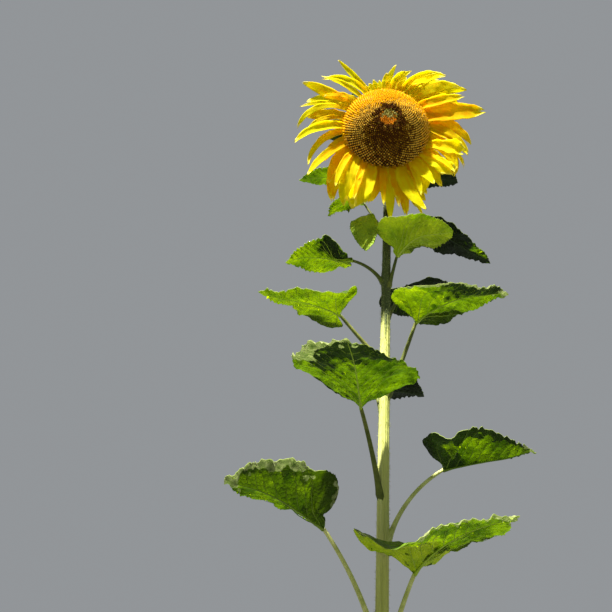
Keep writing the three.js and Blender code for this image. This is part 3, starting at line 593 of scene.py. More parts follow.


# The stem's colours from low to high: in the sun, then painted shade of the upper leaves and the bloom
STEM_FINISHES = [
    stem_finish("stem_rind", [(166, 174, 74), (208, 210, 118), (230, 232, 150)]),
    stem_finish("stem_painted_half_shade", [(112, 124, 52), (144, 152, 80), (168, 172, 104)]),
    stem_finish("stem_painted_shade", [(62, 76, 32), (84, 96, 48), (110, 118, 64)]),
    stem_finish("stem_painted_deep_shade", [(40, 50, 20), (58, 68, 30), (78, 86, 40)]),
]
STALK_RIND = stalk_finish("stalk_rind", [(72, 84, 24), (104, 112, 40), (140, 142, 66)])
STALK_PAINTED_SUN = stalk_finish("stalk_painted_sun", [(162, 172, 78), (204, 208, 120), (228, 230, 150)])
BRISTLE = finish_of("bristle", [(176, 182, 106), (206, 210, 140)], 300, bump=0.05, rough=0.5)

# Tones of the leaves, from pale to deep: the light that shines through, then the colours and the share
# of that light on the upper face, and the same on the under face
# The tones also paint light and shade: lighter for a leaf or patch in sun, darker for one in shade
LEAF_COLOURS = {
    "sunny": ([(186, 206, 6), (226, 236, 16)],
              [(128, 166, 8), (180, 210, 30)], 0.2, [(110, 146, 12), (150, 182, 30)], 0.2),
    "pale": ([(186, 206, 6), (226, 236, 16)],
             [(70, 102, 10), (104, 136, 20)], 0.3, [(156, 194, 4), (228, 250, 32)], 0.14),
    "bright": ([(148, 176, 2), (204, 222, 4)],
               [(52, 82, 8), (84, 116, 16)], 0.58, [(96, 126, 12), (136, 164, 28)], 0.62),
    "fresh": ([(116, 146, 2), (184, 208, 4)],
              [(44, 72, 8), (70, 102, 14)], 0.58, [(66, 92, 8), (98, 126, 18)], 0.62),
    "mild": ([(92, 120, 2), (158, 180, 4)],
             [(38, 62, 8), (62, 90, 14)], 0.52, [(50, 74, 8), (80, 106, 16)], 0.56),
    "shade": ([(62, 90, 2), (108, 136, 4)],
              [(32, 54, 8), (50, 76, 14)], 0.4, [(36, 56, 8), (58, 80, 14)], 0.4),
    "deep": ([(44, 70, 2), (76, 102, 4)],
             [(26, 46, 8), (42, 66, 14)], 0.3, [(24, 38, 8), (38, 56, 14)], 0.3),
}
TONES = list(LEAF_COLOURS)
LEAF_FINISHES = {
    tone: [leaf_finish("leaf_over_" + tone, over, through, over_share),
           leaf_finish("leaf_under_" + tone, under, through, under_share)]
    for tone, (through, over, over_share, under, under_share) in LEAF_COLOURS.items()
}
# The cut edge of a sheet is painted a lighter green: a painted glow of light through a thin margin
LEAF_RIM = finish_of("leaf_rim", [(120, 142, 40), (156, 172, 74)], 120)
LEAF_DRY = finish_of("leaf_dry", [(66, 84, 30), (150, 160, 96), (206, 210, 166)], 110, bump=0.6,
                     through=[(160, 182, 120), (214, 222, 172)], share=0.5)
# Veins are painted lighter than their blade, most in the sunnier tones: a painted glow of sun through them
VEIN_COLOURS = {
    "sunny": [(170, 198, 50), (196, 216, 80)],
    "pale": [(190, 214, 60), (214, 230, 90)],
    "bright": [(168, 196, 44), (196, 220, 72)],
    "fresh": [(150, 180, 38), (178, 204, 64)],
    "mild": [(96, 124, 26), (126, 152, 44)],
    "deep": [(40, 58, 16), (60, 80, 28)],
}
VEIN_FINISHES = {tone: finish_of("vein_" + tone, colours, 80) for tone, colours in VEIN_COLOURS.items()}

PETAL_FINISHES = [
    petal_finish("petal_yellow", [(255, 234, 10), (255, 248, 16), (255, 254, 30)],
                 [(255, 248, 6), (255, 254, 12)]),
    petal_finish("petal_gold", [(255, 226, 6), (255, 242, 10), (255, 250, 20)],
                 [(255, 241, 4), (255, 251, 8)]),
    petal_finish("petal_orange", [(254, 200, 4), (255, 222, 8), (255, 238, 16)],
                 [(255, 216, 2), (255, 235, 6)]),
]
PETAL_RIM = finish_of("petal_rim", [(255, 230, 14), (255, 244, 60)], 200, bump=0.1)
BRACT_SKIN = finish_of("bract_skin", [(44, 76, 20), (72, 104, 34)], 60, bump=0.3,
                       through=[(90, 120, 20), (120, 150, 30)], share=0.25)
DISC_BED = finish_of("disc_bed", [(40, 24, 10), (78, 48, 16)], 400, bump=0.4)
FLORET_COLOURS = {
    "gold": [(244, 170, 0), (255, 202, 0)],
    "tan": [(220, 168, 44), (246, 204, 84)],
    "brown": [(140, 96, 14), (180, 130, 28)],
    "dark": [(78, 42, 8), (112, 66, 14)],
    "olive": [(150, 132, 36), (190, 168, 56)],
    "green": [(190, 178, 84), (224, 214, 124)],
    "orange": [(232, 134, 18), (250, 168, 34)],
}
FLORET_FINISHES = [finish_of("floret_" + name, colours, 500, bump=0.1, rough=0.8, shine=0.04)
                   for name, colours in FLORET_COLOURS.items()]
FLOOR_FINISH = finish_of("floor", [(98, 98, 96), (104, 104, 102)], 2, bump=0.02, rough=0.9)


# Stage

def add_camera():
    pitch = math.radians(CAMERA_PITCH)
    roll = math.radians(CAMERA_ROLL)
    ahead = np.array([0, math.cos(pitch), math.sin(pitch)])
    level = np.array([1.0, 0, 0])
    above = np.cross(level, ahead)
    right = level * math.cos(roll) + above * math.sin(roll)
    up = above * math.cos(roll) - level * math.sin(roll)
    data = bpy.data.cameras.new("camera")
    data.sensor_width = SENSOR_WIDTH
    data.lens = SENSOR_WIDTH * FOCAL_PIXELS / PHOTO_SIDE
    camera = bpy.data.objects.new("camera", data)
    bpy.context.scene.collection.objects.link(camera)
    place = np.eye(4)
    place[:3, :3] = np.stack([right, up, -ahead], 1)
    place[:3, 3] = CAMERA_PLACE
    camera.matrix_world = Matrix(place.tolist())
    bpy.context.scene.camera = camera


SUN_SIDE = -122  # compass angle that the key light comes from
SUN_RISE = 64
SUN_STRENGTH = 13
SUN_SOFTNESS = 3
SUN_COLOUR = (1, 0.97, 0.9)
SKY_COLOUR = (0.80, 0.84, 0.88)
SKY_STRENGTH = 0.36
FLOOR_SIZE = 6


def add_light():
    data = bpy.data.lights.new("key", "SUN")
    data.energy = SUN_STRENGTH
    data.angle = math.radians(SUN_SOFTNESS)
    data.color = SUN_COLOUR
    key = bpy.data.objects.new("key", data)
    bpy.context.scene.collection.objects.link(key)
    key.rotation_euler = (math.radians(90 - SUN_RISE), 0, math.radians(SUN_SIDE + 90))
    world = bpy.data.worlds.new("studio")
    world.use_nodes = True
    sky = {"Color": (*SKY_COLOUR, 1), "Strength": SKY_STRENGTH}
    feed(world.node_tree, world.node_tree.nodes["Background"], sky)
    bpy.context.scene.world = world


def add_floor():
    half = FLOOR_SIZE / 2
    mesh = bpy.data.meshes.new("floor")
    mesh.from_pydata([(-half, -half, 0), (half, -half, 0), (half, half, 0), (-half, half, 0)], [],
                     [(0, 1, 2, 3)])
    mesh.materials.append(FLOOR_FINISH)
    floor = bpy.data.objects.new("floor", mesh)
    bpy.context.scene.collection.objects.link(floor)


# Stem and stalks

def stem_radius(z):
    up = np.minimum(np.asarray(z, float) / LEAN_HEIGHT, 1)
    return STEM_TIP_RADIUS + STEM_TAPER * (1 - up) ** TAPER_POWER + FLARE * np.exp(-z / FLARE_HEIGHT)


def stem_centre(z):
    z = np.asarray(z, float)
    return np.stack([STEM_LEAN * (z / LEAN_HEIGHT) ** LEAN_POWER, 0 * z, z], -1)


def lower_leaf(k):
    """The lower leaves follow one rule, from the top one down."""
    down = k / (LOWER_LEAVES - 1)
    swell = math.sin(math.pi * (0.35 + 0.5 * down))
    stalk = (0.130 + 0.050 * swell, 60 - 12 * down, 30 - 25 * down)
    size = (0.195 + 0.055 * swell, 0.170 + 0.050 * swell)
    return leaf_of(LOWER_TOP - LOWER_SPACING * k, LOWER_FIRST_SIDE + GOLDEN_ANGLE * k, stalk, size,
                   8 * math.sin(k * 2.2), 14 * math.sin(k * 1.3), (6 - 16 * down, -28 - 22 * down),
                   (20, 4, -20), (18, 2, -20), wave=(0.006, 0.1 + 0.06 * k, 0.006, 0.45 - 0.05 * k),
                   tone=("fresh", "deep")[k % 2])


LEAVES = [lower_leaf(LOWER_LEAVES - 1 - k) for k in range(LOWER_LEAVES)] + UPPER_LEAVES


def ridged(angles, heights, depth, seed):
    """Share by which a radius grows on the ridges that run up a stem."""
    draws = np.random.default_rng(seed)
    wander = 0.25 * np.sin(heights * 9 + draws.uniform(0, 6))
    coarse = np.cos(RIDGES * (angles + 0.12 * wander) + draws.uniform(0, 6))
    fine = np.cos((RIDGES * 2 + 3) * (angles - 0.1 * wander) + draws.uniform(0, 6))
    return depth * (coarse + 0.6 * fine)


def stem_skin(z, angles):
    """Radius of the stem's surface at heights z, all round."""
    radii = stem_radius(z) * (1 + ridged(angles, z, RIDGE_DEPTH, 3))
    for leaf in LEAVES:
        away = (angles - math.radians(leaf["side"]) + np.pi) % (2 * np.pi) - np.pi
        up = (z - leaf["z"] - NODE_HEIGHT / 4) / NODE_HEIGHT
        radii = radii + NODE_SWELL * np.exp(-(away / NODE_TURN) ** 2 - up ** 2)
    return radii


def add_stem():
    shape = Shape()
    z = STEM_TOP * np.linspace(0, 1, STEM_RINGS)
    angles = around(STEM_SIDES)
    radii = stem_skin(z[:, None], angles[None])
    east = np.tile([1.0, 0, 0], (STEM_RINGS, 1))
    up = np.tile([0, 0, 1.0], (STEM_RINGS, 1))
    # Above each shade height the faces take the next, darker colour of painted shade, along a wavy line
    ragged = z[:-1, None] + 0.014 * np.sin(angles[None] * 3) + 0.010 * np.sin(angles[None] * 7 + 1)
    paint = sum((ragged > start).astype(int) for start in STEM_SHADE_STARTS)
    add_tube(shape, rings(stem_centre(z), up, east, radii, STEM_SIDES), paint.ravel())
    shape.make("stem_rind", STEM_FINISHES, "stem", "stem")

    hairs = Shape()
    z = DRAWS.uniform(0.02, STEM_TOP, STEM_BRISTLES)
    angles = DRAWS.uniform(0, 2 * np.pi, STEM_BRISTLES)
    outward = unit(direction(np.degrees(angles), DRAWS.uniform(-30, 40, STEM_BRISTLES)))
    roots = stem_centre(z) + direction(np.degrees(angles), 0) * stem_skin(z, angles)[:, None]
    add_bristles(hairs, roots, outward, STEM_BRISTLE)
    hairs.make("stem_bristles", [BRISTLE], "stem")


def stalk_line(leaf, steps=STALK_STEPS):
    """Points of a leaf stalk and the rise at each."""
    length, rise_at_stem, rise_at_blade = leaf["stalk"]
    start = stem_centre(leaf["z"]) + direction(leaf["side"], 0) * stem_radius(leaf["z"])
    moves = direction(leaf["side"], mix(rise_at_stem, rise_at_blade, middles_of(steps))) * (length / steps)
    return walk(start, moves), mix(rise_at_stem, rise_at_blade, np.linspace(0, 1, steps + 1))


def stalk_radius(leaf, along):
    swell = STALK_SWELL * np.exp(-along * SWELL_FADE)
    return (STALK_RADIUS + leaf["size"][0] * STALK_GAIN) * (1 - STALK_TAPER * along + swell)


def grooved(angles, seed):
    """Share of a stalk's radius all round: one broad groove on top and low ridges elsewhere."""
    top = (angles - 1.5 * np.pi + np.pi) % (2 * np.pi) - np.pi
    groove = GROOVE_DEPTH * np.exp(-(np.degrees(top) / GROOVE_WIDTH) ** 2)
    return 1 - groove + 0.035 * np.cos(9 * angles + seed)


def add_stalk(leaf, number):
    shape = Shape()
    points, rises = stalk_line(leaf)
    inward = np.linspace(1, 0, STALK_ROOT_STEPS, endpoint=False)[:, None]
    start = mix(points[0], stem_centre(leaf["z"] - STALK_ROOT), inward)
    points = np.concatenate([start, points])
    rises = np.concatenate([np.full(STALK_ROOT_STEPS, rises[0]), rises])
    growth = direction(leaf["side"], rises)
    across = np.tile(direction(leaf["side"] + 90, 0), (len(points), 1))
    along = np.concatenate([np.zeros(STALK_ROOT_STEPS), np.linspace(0, 1, STALK_STEPS + 1)])
    radii = stalk_radius(leaf, along)[:, None] * grooved(around(STALK_SIDES), number)[None]
    add_tube(shape, rings(points, growth, across, radii, STALK_SIDES), 0)

    share = DRAWS.uniform(0.03, 1, STALK_BRISTLES)
    turn = DRAWS.uniform(0, 2 * np.pi, STALK_BRISTLES)
    nearest = STALK_ROOT_STEPS + np.round(share * STALK_STEPS).astype(int)
    outward = spoke(growth, across, nearest, turn)
    roots = along_line(points, along, share)
    roots = roots + outward * (stalk_radius(leaf, share) * grooved(turn, number))[:, None]
    add_bristles(shape, roots, outward, STALK_BRISTLE, 1)
    # Stalks marked pale_stalk are painted lighter: painted sun
    rind = STALK_PAINTED_SUN if leaf["pale_stalk"] else STALK_RIND
    shape.make(f"stalk_{number:02d}", [rind, BRISTLE], "stalk", f"petiole_{number:02d}")


# Leaf blades

def margin_at(t):
    """A point of the margin of one half: share of the length, share of the half width."""
    before = MARGIN[0] * 2 - MARGIN[1]
    after = MARGIN[-1] * 2 - MARGIN[-2]
    knots = np.concatenate([[before], MARGIN, [after]])
    place = np.asarray(t) * (len(MARGIN) - 1)
    i = np.clip(place.astype(int), 0, len(MARGIN) - 2)
    w = (place - i)[..., None]
    a, b, c, d = (knots[i + k] for k in range(4))
    start = (c - a) / 2
    end = (d - b) / 2
    return ((2 * w**3 - 3 * w**2 + 1) * b + (w**3 - 2 * w**2 + w) * start
            + (3 * w**2 - 2 * w**3) * c + (w**3 - w**2) * end)


OUTER_EDGE = margin_at(np.linspace(3 / 9, 1, 80))  # the margin from the lobe on


def edge_at(x):
    """Share of the half width that a blade reaches at a share of its length."""
    return np.interp(x, OUTER_EDGE[:, 0], OUTER_EDGE[:, 1])


def midrib_of(leaf, base):
    """The midrib, as a function from a share of its length to a place."""
    middles = middles_of(MIDRIB_STEPS)
    moves = direction(leaf["side"] + leaf["turn"] + leaf["bend"] * middles, mix(*leaf["pitch"], middles))
    points = walk(base, moves * (leaf["size"][0] / MIDRIB_STEPS))
    shares = np.linspace(0, 1, MIDRIB_STEPS + 1)
    return lambda share: along_line(points, shares, share)


def blade_points(leaf, midrib, x, y, half, lift=0):
    """Points of a blade, x along the midrib and y from it as shares. lift raises them off the sheet."""
    inside = np.clip(x, 0, 1)
    length, width = leaf["size"]
    side = leaf["side"] + leaf["turn"] + leaf["bend"] * inside
    growth = direction(side, mix(*leaf["pitch"], inside))
    flat = direction(side + 90, 0)
    over = np.cross(growth, flat)
    roll = math.radians(leaf["roll"])
    level = flat * math.cos(roll) + over * math.sin(roll)
    up = over * math.cos(roll) - flat * math.sin(roll)
    at_base, at_tip, curl, height, crest = (
        np.where(half > 0, on_left, on_right) for on_left, on_right
        in zip([*leaf["left"], *leaf["wave"][:2]], [*leaf["right"], *leaf["wave"][2:]]))
    bow = np.radians(curl)
    fold = np.radians(mix(at_base, at_tip, inside))
    wave = height * y * y * np.cos(2 * np.pi * WAVE_FREQUENCY * (x - crest))
    outward = (np.sin(fold + bow * y) - np.sin(fold)) / bow * (width / 2)
    upward = (np.cos(fold) - np.cos(fold + bow * y)) / bow * (width / 2) + wave + lift
    return (midrib(inside) + growth * (np.minimum(x, 0) * length)[..., None]
            + level * (half * outward)[..., None] + up * upward[..., None] + blade_move(leaf, x, y, half))


def blade_move(leaf, x, y, half):
    """How far a point of a blade leaves its rule. The base stays where it is."""
    length, width = leaf["size"]
    total = np.zeros((*np.broadcast(x, y).shape, 2))
    weight = np.zeros(total.shape[:-1])
    for at_x, at_y, right, up in leaf["moves"]:
        gap = np.hypot((x - at_x) * length, (y * half - at_y) * width / 2)
        share = np.exp(-(gap / MOVE_REACH) ** 2)
        total = total + share[..., None] * np.array([right, up]) / 1000
        weight = weight + share
    free = smooth_step(0.004, 0.030, np.hypot(x * length, y * width / 2))
    total = total * (free / np.maximum(weight, 1))[..., None]
    return total[..., :1] * np.array([1.0, 0, 0]) + total[..., 1:] * PICTURE_UP


def laid_flat(leaf, x, y, half):
    """Places on a blade as if it lay flat, in metres along and across."""
    length, width = leaf["size"]
    return np.stack([x * length, y * half * width / 2], -1)


def vein_phase(x, y, leaf):
    """Which side vein a point is on: a whole number on a vein, and between two others between veins."""
    length, width = leaf["size"]
    out = y * width / 2
    start = x - (0.95 * out + VEIN_CURVE * out * out) / length
    inner = np.interp(start, VEIN_STARTS[1:], np.arange(1, len(VEIN_STARTS)))
    fan = 1 + (start - VEIN_STARTS[1]) * length / np.maximum(np.hypot(x * length, out), 0.004) / 0.5
    return np.where(start < VEIN_STARTS[1], fan, inner)


def relief(leaf, x, y, half, seed):
    """Height of the blade's own swellings over the smooth sheet."""
    length, width = leaf["size"]
    phase = vein_phase(x, y, leaf)
    out = y * width / 2
    place = laid_flat(leaf, x, y, half)
    between = np.abs(np.sin(np.pi * phase)) ** 0.7
    small = np.abs(np.sin(np.pi * (out / SMALL_VEIN_GAP + 0.5 * np.sin(phase * 2 * np.pi + half))))
    swell = QUILT * (between - 0.6) + PUCKER * (small - 0.6)
    swell = swell * (1 + 0.5 * bumps(place, 0.05, seed + 30))
    broad = BROAD[0] * bumps(place, BROAD[1], seed) + CRINKLE[0] * bumps(place, CRINKLE[1], seed + 50)
    ruffle = RUFFLE[0] * y ** 3 * np.sin(2 * np.pi * (x * length / RUFFLE[1] + 0.3 * half) + seed)
    off_midrib = 1 - np.exp(-(out / FLAT_MIDRIB) ** 2)
    off_base = smooth_step(0, FLAT_BASE, np.hypot(x * length, out))
    return off_midrib * off_base * (swell + broad * (0.3 + 0.7 * y) + ruffle)


def patch_at(leaf, kind, x, y, half, seed):
    """How much of a kind of patch a place on a blade has, from 0 to 1."""
    total = np.zeros(np.broadcast(x, y).shape)
    ragged = 0.05 * bumps(laid_flat(leaf, x, y, half), 0.022, seed + 9)
    blend = DRY_BLEND if kind == "dry" else PATCH_BLEND
    out = y / np.maximum(edge_at(x), 0.05)
    for side, start, end, inner in leaf.get(kind, []):
        inside = smooth_step(start - blend, start + blend, x + ragged)
        inside = inside * (1 - smooth_step(end - blend, end + blend, x + ragged))
        inside = inside * smooth_step(inner - 2 * blend, inner + blend, out + ragged + blend * (inner == 0))
        total = np.maximum(total, np.where((side == 0) | (half == side), inside, 0))
    return total


def crumple(leaf, x, y, half, seed):
    """Height of the folds of a blade's withered places."""
    height, width = CRUMPLE
    folds = height * bumps(laid_flat(leaf, x, y, half), width, seed + 3)
    return folds * patch_at(leaf, "dry", x, y, half, seed)


def blade_grid(leaf, number):
    """Places of a blade's points as shares along and across, and their half, from the left margin on."""
    rows, columns = BLADE_GRID if number > LOWER_LEAVES else LOWER_GRID
    if any(kind in leaf for kind in TONES):
        rows, columns = PATCHED_GRID
    t = np.linspace(0.006, 0.996, rows + 1)[:, None]
    column = np.arange(columns, -columns - 1, -1)[None]
    half = np.where(column < 0, -1, 1)
    share = 1 - (1 - np.abs(column) / columns) ** COLUMN_BUNCHING
    edge = margin_at(t[:, 0])
    tooth = (t * TEETH * 2 + 0.35) % 1
    fade = smooth_step(0.05, 0.2, t) * (1 - smooth_step(0.93, 1, t)) * smooth_step(0.8, 1, share)
    teeth = (tooth - 0.5) * fade * TOOTH_HEIGHT * (0.75 + 0.5 * np.sin(t * 41 + number + half))
    x = mix(t ** ROW_BUNCHING, edge[:, :1], share) + teeth * 0.7 / leaf["size"][0]
    y = edge[:, 1:] * share + teeth / (leaf["size"][1] / 2)
    return x, np.maximum(y, 0), half


BLADE_RIM, BLADE_DRY, BLADE_VEIN = 2, 3, 4  # places in a blade's materials, after over and under


def blade_paint(leaf, points, x, y, half, seed):
    """Materials of a blade, and which of them each triangle has on the upper and on the under face."""
    finishes = [*LEAF_FINISHES[leaf["tone"]], LEAF_RIM, LEAF_DRY, VEIN_FINISHES[leaf["tone"]]]
    corners = grid_triangles(*x.shape)
    paint = np.zeros(len(corners), int)
    mottled = sum(strength * bumps(points, width, seed + 21 + i)
                  for i, (strength, width) in enumerate(PATCH_MOTTLE))
    # Patches of another tone are painted sun and painted shadow, with a middle tone round their edge
    for kind in [tone for tone in TONES if tone in leaf]:
        amount = (patch_at(leaf, kind, x, y, half, seed) - mottled).ravel()[corners].mean(1)
        between = TONES[(TONES.index(kind) + TONES.index(leaf["tone"])) // 2]
        paint = np.where((paint == 0) & (amount > PATCH_STEPS[0]), len(finishes), paint)
        paint = np.where(amount > PATCH_STEPS[1], len(finishes) + 2, paint)
        finishes += LEAF_FINISHES[between] + LEAF_FINISHES[kind]
    patchy = np.maximum(0.32 + 0.4 * bumps(points, 0.016, seed + 7), 0.15)
    withered = (patch_at(leaf, "dry", x, y, half, seed) - patchy).ravel()[corners].mean(1) > 0
    return finishes, np.where(withered, BLADE_DRY, paint), np.where(withered, BLADE_DRY, paint + 1)


def add_blade(leaf, number):
    shape = Shape()
    midrib = midrib_of(leaf, stalk_line(leaf)[0][-1])
    seed = 100 + number
    x, y, half = blade_grid(leaf, number)
    lift = relief(leaf, x, y, half, seed) + crumple(leaf, x, y, half, seed)
    points = blade_points(leaf, midrib, x, y, half, lift)
    finishes, over, under = blade_paint(leaf, points, x, y, half, seed)
    add_sheet(shape, points, SHEET, over, under, BLADE_RIM)
    add_veins(shape, leaf, midrib, seed)
    shape.make(f"blade_{number:02d}", finishes, "leaf", f"leaf_{number:02d}")


def vein_along(leaf, start, slope, out):
    """Share of the length that a side vein has reached, this far out from the midrib."""
    return start + (slope * out + VEIN_CURVE * out * out) / leaf["size"][0]


def add_vein(shape, leaf, midrib, x, y, half, thick, sides, seed):
    """One raised vein under the blade. thick is its radius at its start and at its end."""
    radii = np.linspace(*thick, len(x))
    half = np.full(len(x), half)
    lift = relief(leaf, x, y, half, seed) + crumple(leaf, x, y, half, seed) - radii * 0.6
    add_cord(shape, blade_points(leaf, midrib, x, y, half, lift), radii, sides, BLADE_VEIN)


def add_veins(shape, leaf, midrib, seed):
    width = leaf["size"][1]
    x = np.linspace(0, 0.985, 40)
    root = float(stalk_radius(leaf, 1)) * 0.9
    radii = np.interp(x, [0, 0.12, 1], [root, root * 0.55, 0.0004])
    half = np.ones(40)
    drop = relief(leaf, x, 0 * x, half, seed) - radii * 0.75
    add_cord(shape, blade_points(leaf, midrib, x, 0 * x, half, drop), radii, 8, BLADE_VEIN)
    for side in (-1, 1):
        for i, (start, slope) in enumerate(zip(VEIN_STARTS, VEIN_SLOPES)):
            out = np.linspace(0, width / 2, 80)
            inside = out / (width / 2) < 0.95 * edge_at(vein_along(leaf, start, slope, out))
            reach = out[inside][-1]
            out = np.linspace(0, reach, 16)
            along = vein_along(leaf, start, slope, out)
            thick = root * (0.36 if i == 1 else 0.22) * (1 - 0.5 * start)
            add_vein(shape, leaf, midrib, along, out / (width / 2), side, (thick, 0.0003), 5, seed)
            for share in (0.3, 0.48, 0.66, 0.82):
                add_branch(shape, leaf, midrib, start, slope, reach * share, side, thick * 0.4, seed)


def add_branch(shape, leaf, midrib, start, slope, out, side, thick, seed):
    """A small vein that leaves a side vein on the side of the leaf's base."""
    length, width = leaf["size"]
    along = vein_along(leaf, start, slope, out)
    reach = min(0.20 * width, 0.95 * float(edge_at(along)) * width / 2 - out)
    if reach < 0.006:
        return
    run = np.linspace(0, reach, 8)
    x = along + (0.15 * run + 3 * run * run) / length
    y = (out + run) / (width / 2)
    inside = y < 0.96 * edge_at(x)
    if inside.sum() > 2:
        add_vein(shape, leaf, midrib, x[inside], y[inside], side, (thick, 0.0002), 4, seed)


# Bloom, built with its face towards +Z and then turned to nod

def placed(points):
    """Points of the bloom's own frame in the plant's."""
    turn = math.radians(90 + HEAD_NOD)
    axes = np.array([[1, 0, 0], [0, math.cos(turn), math.sin(turn)], [0, -math.sin(turn), math.cos(turn)]])
    return HEAD_CENTRE + points @ axes


def dome_height(share):
    crown, shoulder = DOME_POWERS
    dimple = DIMPLE_DEPTH * np.exp(-((share / DIMPLE_WIDTH) ** 2))
    return DISC_DOME * np.maximum(1 - share ** crown, 0) ** shoulder - dimple


def turned(profile, segments):
    """Rings of points of a round solid, from its profile of radius and height."""
    profile = np.asarray(profile, float)
    ring = np.stack([np.cos(around(segments)), np.sin(around(segments))], -1)
    flat = profile[:, :1, None] * ring[None]
    height = np.broadcast_to(profile[:, 1:, None], (*flat.shape[:2], 1))
    return np.concatenate([flat, height], -1)


def add_disc():
    shape = Shape()
    shares = np.linspace(1, 0.01, 40)
    profile = [(0.001, -DISC_BACK), (DISC_RADIUS - 0.003, -DISC_BACK)]
    profile += [(DISC_RADIUS * s * 0.985, float(dome_height(s)) - 0.002) for s in shares]
    add_tube(shape, placed(turned(profile, ROUND_SIDES)))
    shape.make("disc_bed", [DISC_BED], "disc", "disc")


FLORET_SIDES = 10


def floret(height, spread, bulb, kind, sides=FLORET_SIDES):
    """Rings of one floret, standing on the origin, and the material of each band.

    kind is open, with a flared star and a tube above it, or bud, which is closed.
    """
    if kind == "bud":
        profile = [(0.9, 0), (1.15, 0.4), (0.95, 0.75), (0.35, 1)]
        bands = [0, 1, 2]
    else:
        profile = [(0.75, 0), (0.8, 0.45), (1.4, 0.62), (0.62, 0.6), (bulb, 0.93), (0.2, 1)]
        bands = [0, 1, 1, 2, 2]
    points = turned([(r * spread, h * height) for r, h in profile], sides)
    if kind == "open":
        star = np.where(np.arange(sides) % 2 == 0, 1.3, 0.7)
        points[2, :, :2] *= star[:, None]
        points[2, ::2, 2] += 0.08 * height
    return points, np.repeat(bands, sides)


def add_florets():
    """A spiral of florets: buds in the middle, dark ones round them, then tan and golden ones."""
    shape = Shape()
    number = {name: i for i, name in enumerate(FLORET_COLOURS)}
    for i in range(FLORETS):
        share = math.sqrt((i + 0.5) / FLORETS)
        angle = math.radians(FLORET_TURN * i)
        draw = DRAWS.random(4)
        height, spread, kind, colours = floret_look(share, angle, draw)
        points, bands = floret(height, spread, 0.7, kind)
        slope = (dome_height(share + 0.01) - dome_height(share - 0.01)) / (0.02 * DISC_RADIUS)
        normal = np.array([-slope * math.cos(angle), -slope * math.sin(angle), 1.0])
        normal = unit(normal + np.array([math.cos(angle), math.sin(angle), 0]) * 0.12)
        across = unit(np.cross(normal, [math.sin(angle), -math.cos(angle), 0.05]))
        second = np.cross(normal, across)
        base = np.array([DISC_RADIUS * share * math.cos(angle), DISC_RADIUS * share * math.sin(angle),
                         float(dome_height(share)) - 0.0025])
        points = base + points @ np.stack([across, second, normal])
        faces = grid_faces(len(points), FLORET_SIDES, closed=True)
        paint = np.array([number[colours[band]] for band in range(3)])[bands]
        first = shape.count
        shape.add(placed(points), faces, paint)
        cap = (len(points) - 1) * FLORET_SIDES + np.arange(FLORET_SIDES)[None]
        shape.grow(cap + first, number[colours[2] if kind == "open" else colours[1]])
    shape.make("florets", FLORET_FINISHES, "disc")


def floret_look(share, angle, draw):
    """Height, width, kind and the colours of tube, star and tip of a floret."""
    height = mix(0.0050, 0.0070, draw[1])
    # The golden ring reaches further in at the top: partly the disc's own pattern, partly painted light
    golden = 0.40 + 0.56 * (1 - math.sin(angle - math.radians(12)))
    if share < 0.20:
        warm = draw[0] < 0.55 - 0.55 * math.sin(angle)
        colour = "orange" if warm else "green" if draw[2] < 0.7 else "olive"
        tip = "brown" if draw[3] < 0.2 else colour
        return height, 0.0019, "bud", ("brown", colour, tip)
    if share < 0.345 + 0.08 * (draw[2] - 0.5):
        tip = "dark" if draw[0] < 0.6 else "brown" if draw[3] < 0.6 else "tan"
        return mix(0.005, 0.008, draw[1]), 0.0014, "open", ("dark", tip, "dark")
    if share > golden + 0.22 * (draw[2] - 0.5):
        tip = "gold" if draw[3] < 0.9 else "tan"
        return height, 0.0016, "open", ("gold" if draw[0] < 0.8 else "tan", "gold", tip)
    # lit: painted light, less low on the disc; with less of it, tips turn brown and dark as painted shade
    lit = 1 - (golden - share) / 0.95 + 0.34 * (draw[0] - 0.5) + 0.12 * math.cos(angle)
    if lit > 0.80:
        return height, 0.0016, "open", ("brown", "gold", "tan")
    if lit > 0.36:
        return height, 0.0015, "open", ("dark", "brown" if draw[3] < 0.6 else "tan", "tan")
    if lit > 0.04:
        return height, 0.0015, "open", ("dark", "brown" if draw[2] < 0.4 else "dark",
                                        "tan" if draw[3] < 0.12 else "brown" if draw[3] < 0.8 else "dark")
    return height, 0.0015, "open", ("dark", "dark", "brown" if draw[3] < 0.25 else "dark")


PETAL_ROWS = 26
PETAL_COLUMNS = 8
RAY_STEPS = 60
PETAL_SHEET = 0.0004  # thickness of a petal
BRACT_SHEET = 0.0008
PETAL_WIDTHS = ([0, 0.1, 0.3, 0.5, 0.68, 0.82, 0.93, 1], [0.5, 0.74, 1, 1, 0.88, 0.64, 0.36, 0.1])
CURTAIN_WIDTHS = ([0, 0.1, 0.3, 0.5, 0.7, 0.86, 0.95, 1], [0.3, 0.44, 0.66, 0.86, 1, 0.96, 0.74, 0.4])
CURTAIN_WIDTH = 0.034  # petals from this width on, that hang before the others, are broad at the end
BRACT_WIDTHS = ([0, 0.15, 0.35, 0.55, 0.75, 0.9, 1], [0.6, 0.95, 1, 0.82, 0.5, 0.24, 0.04])


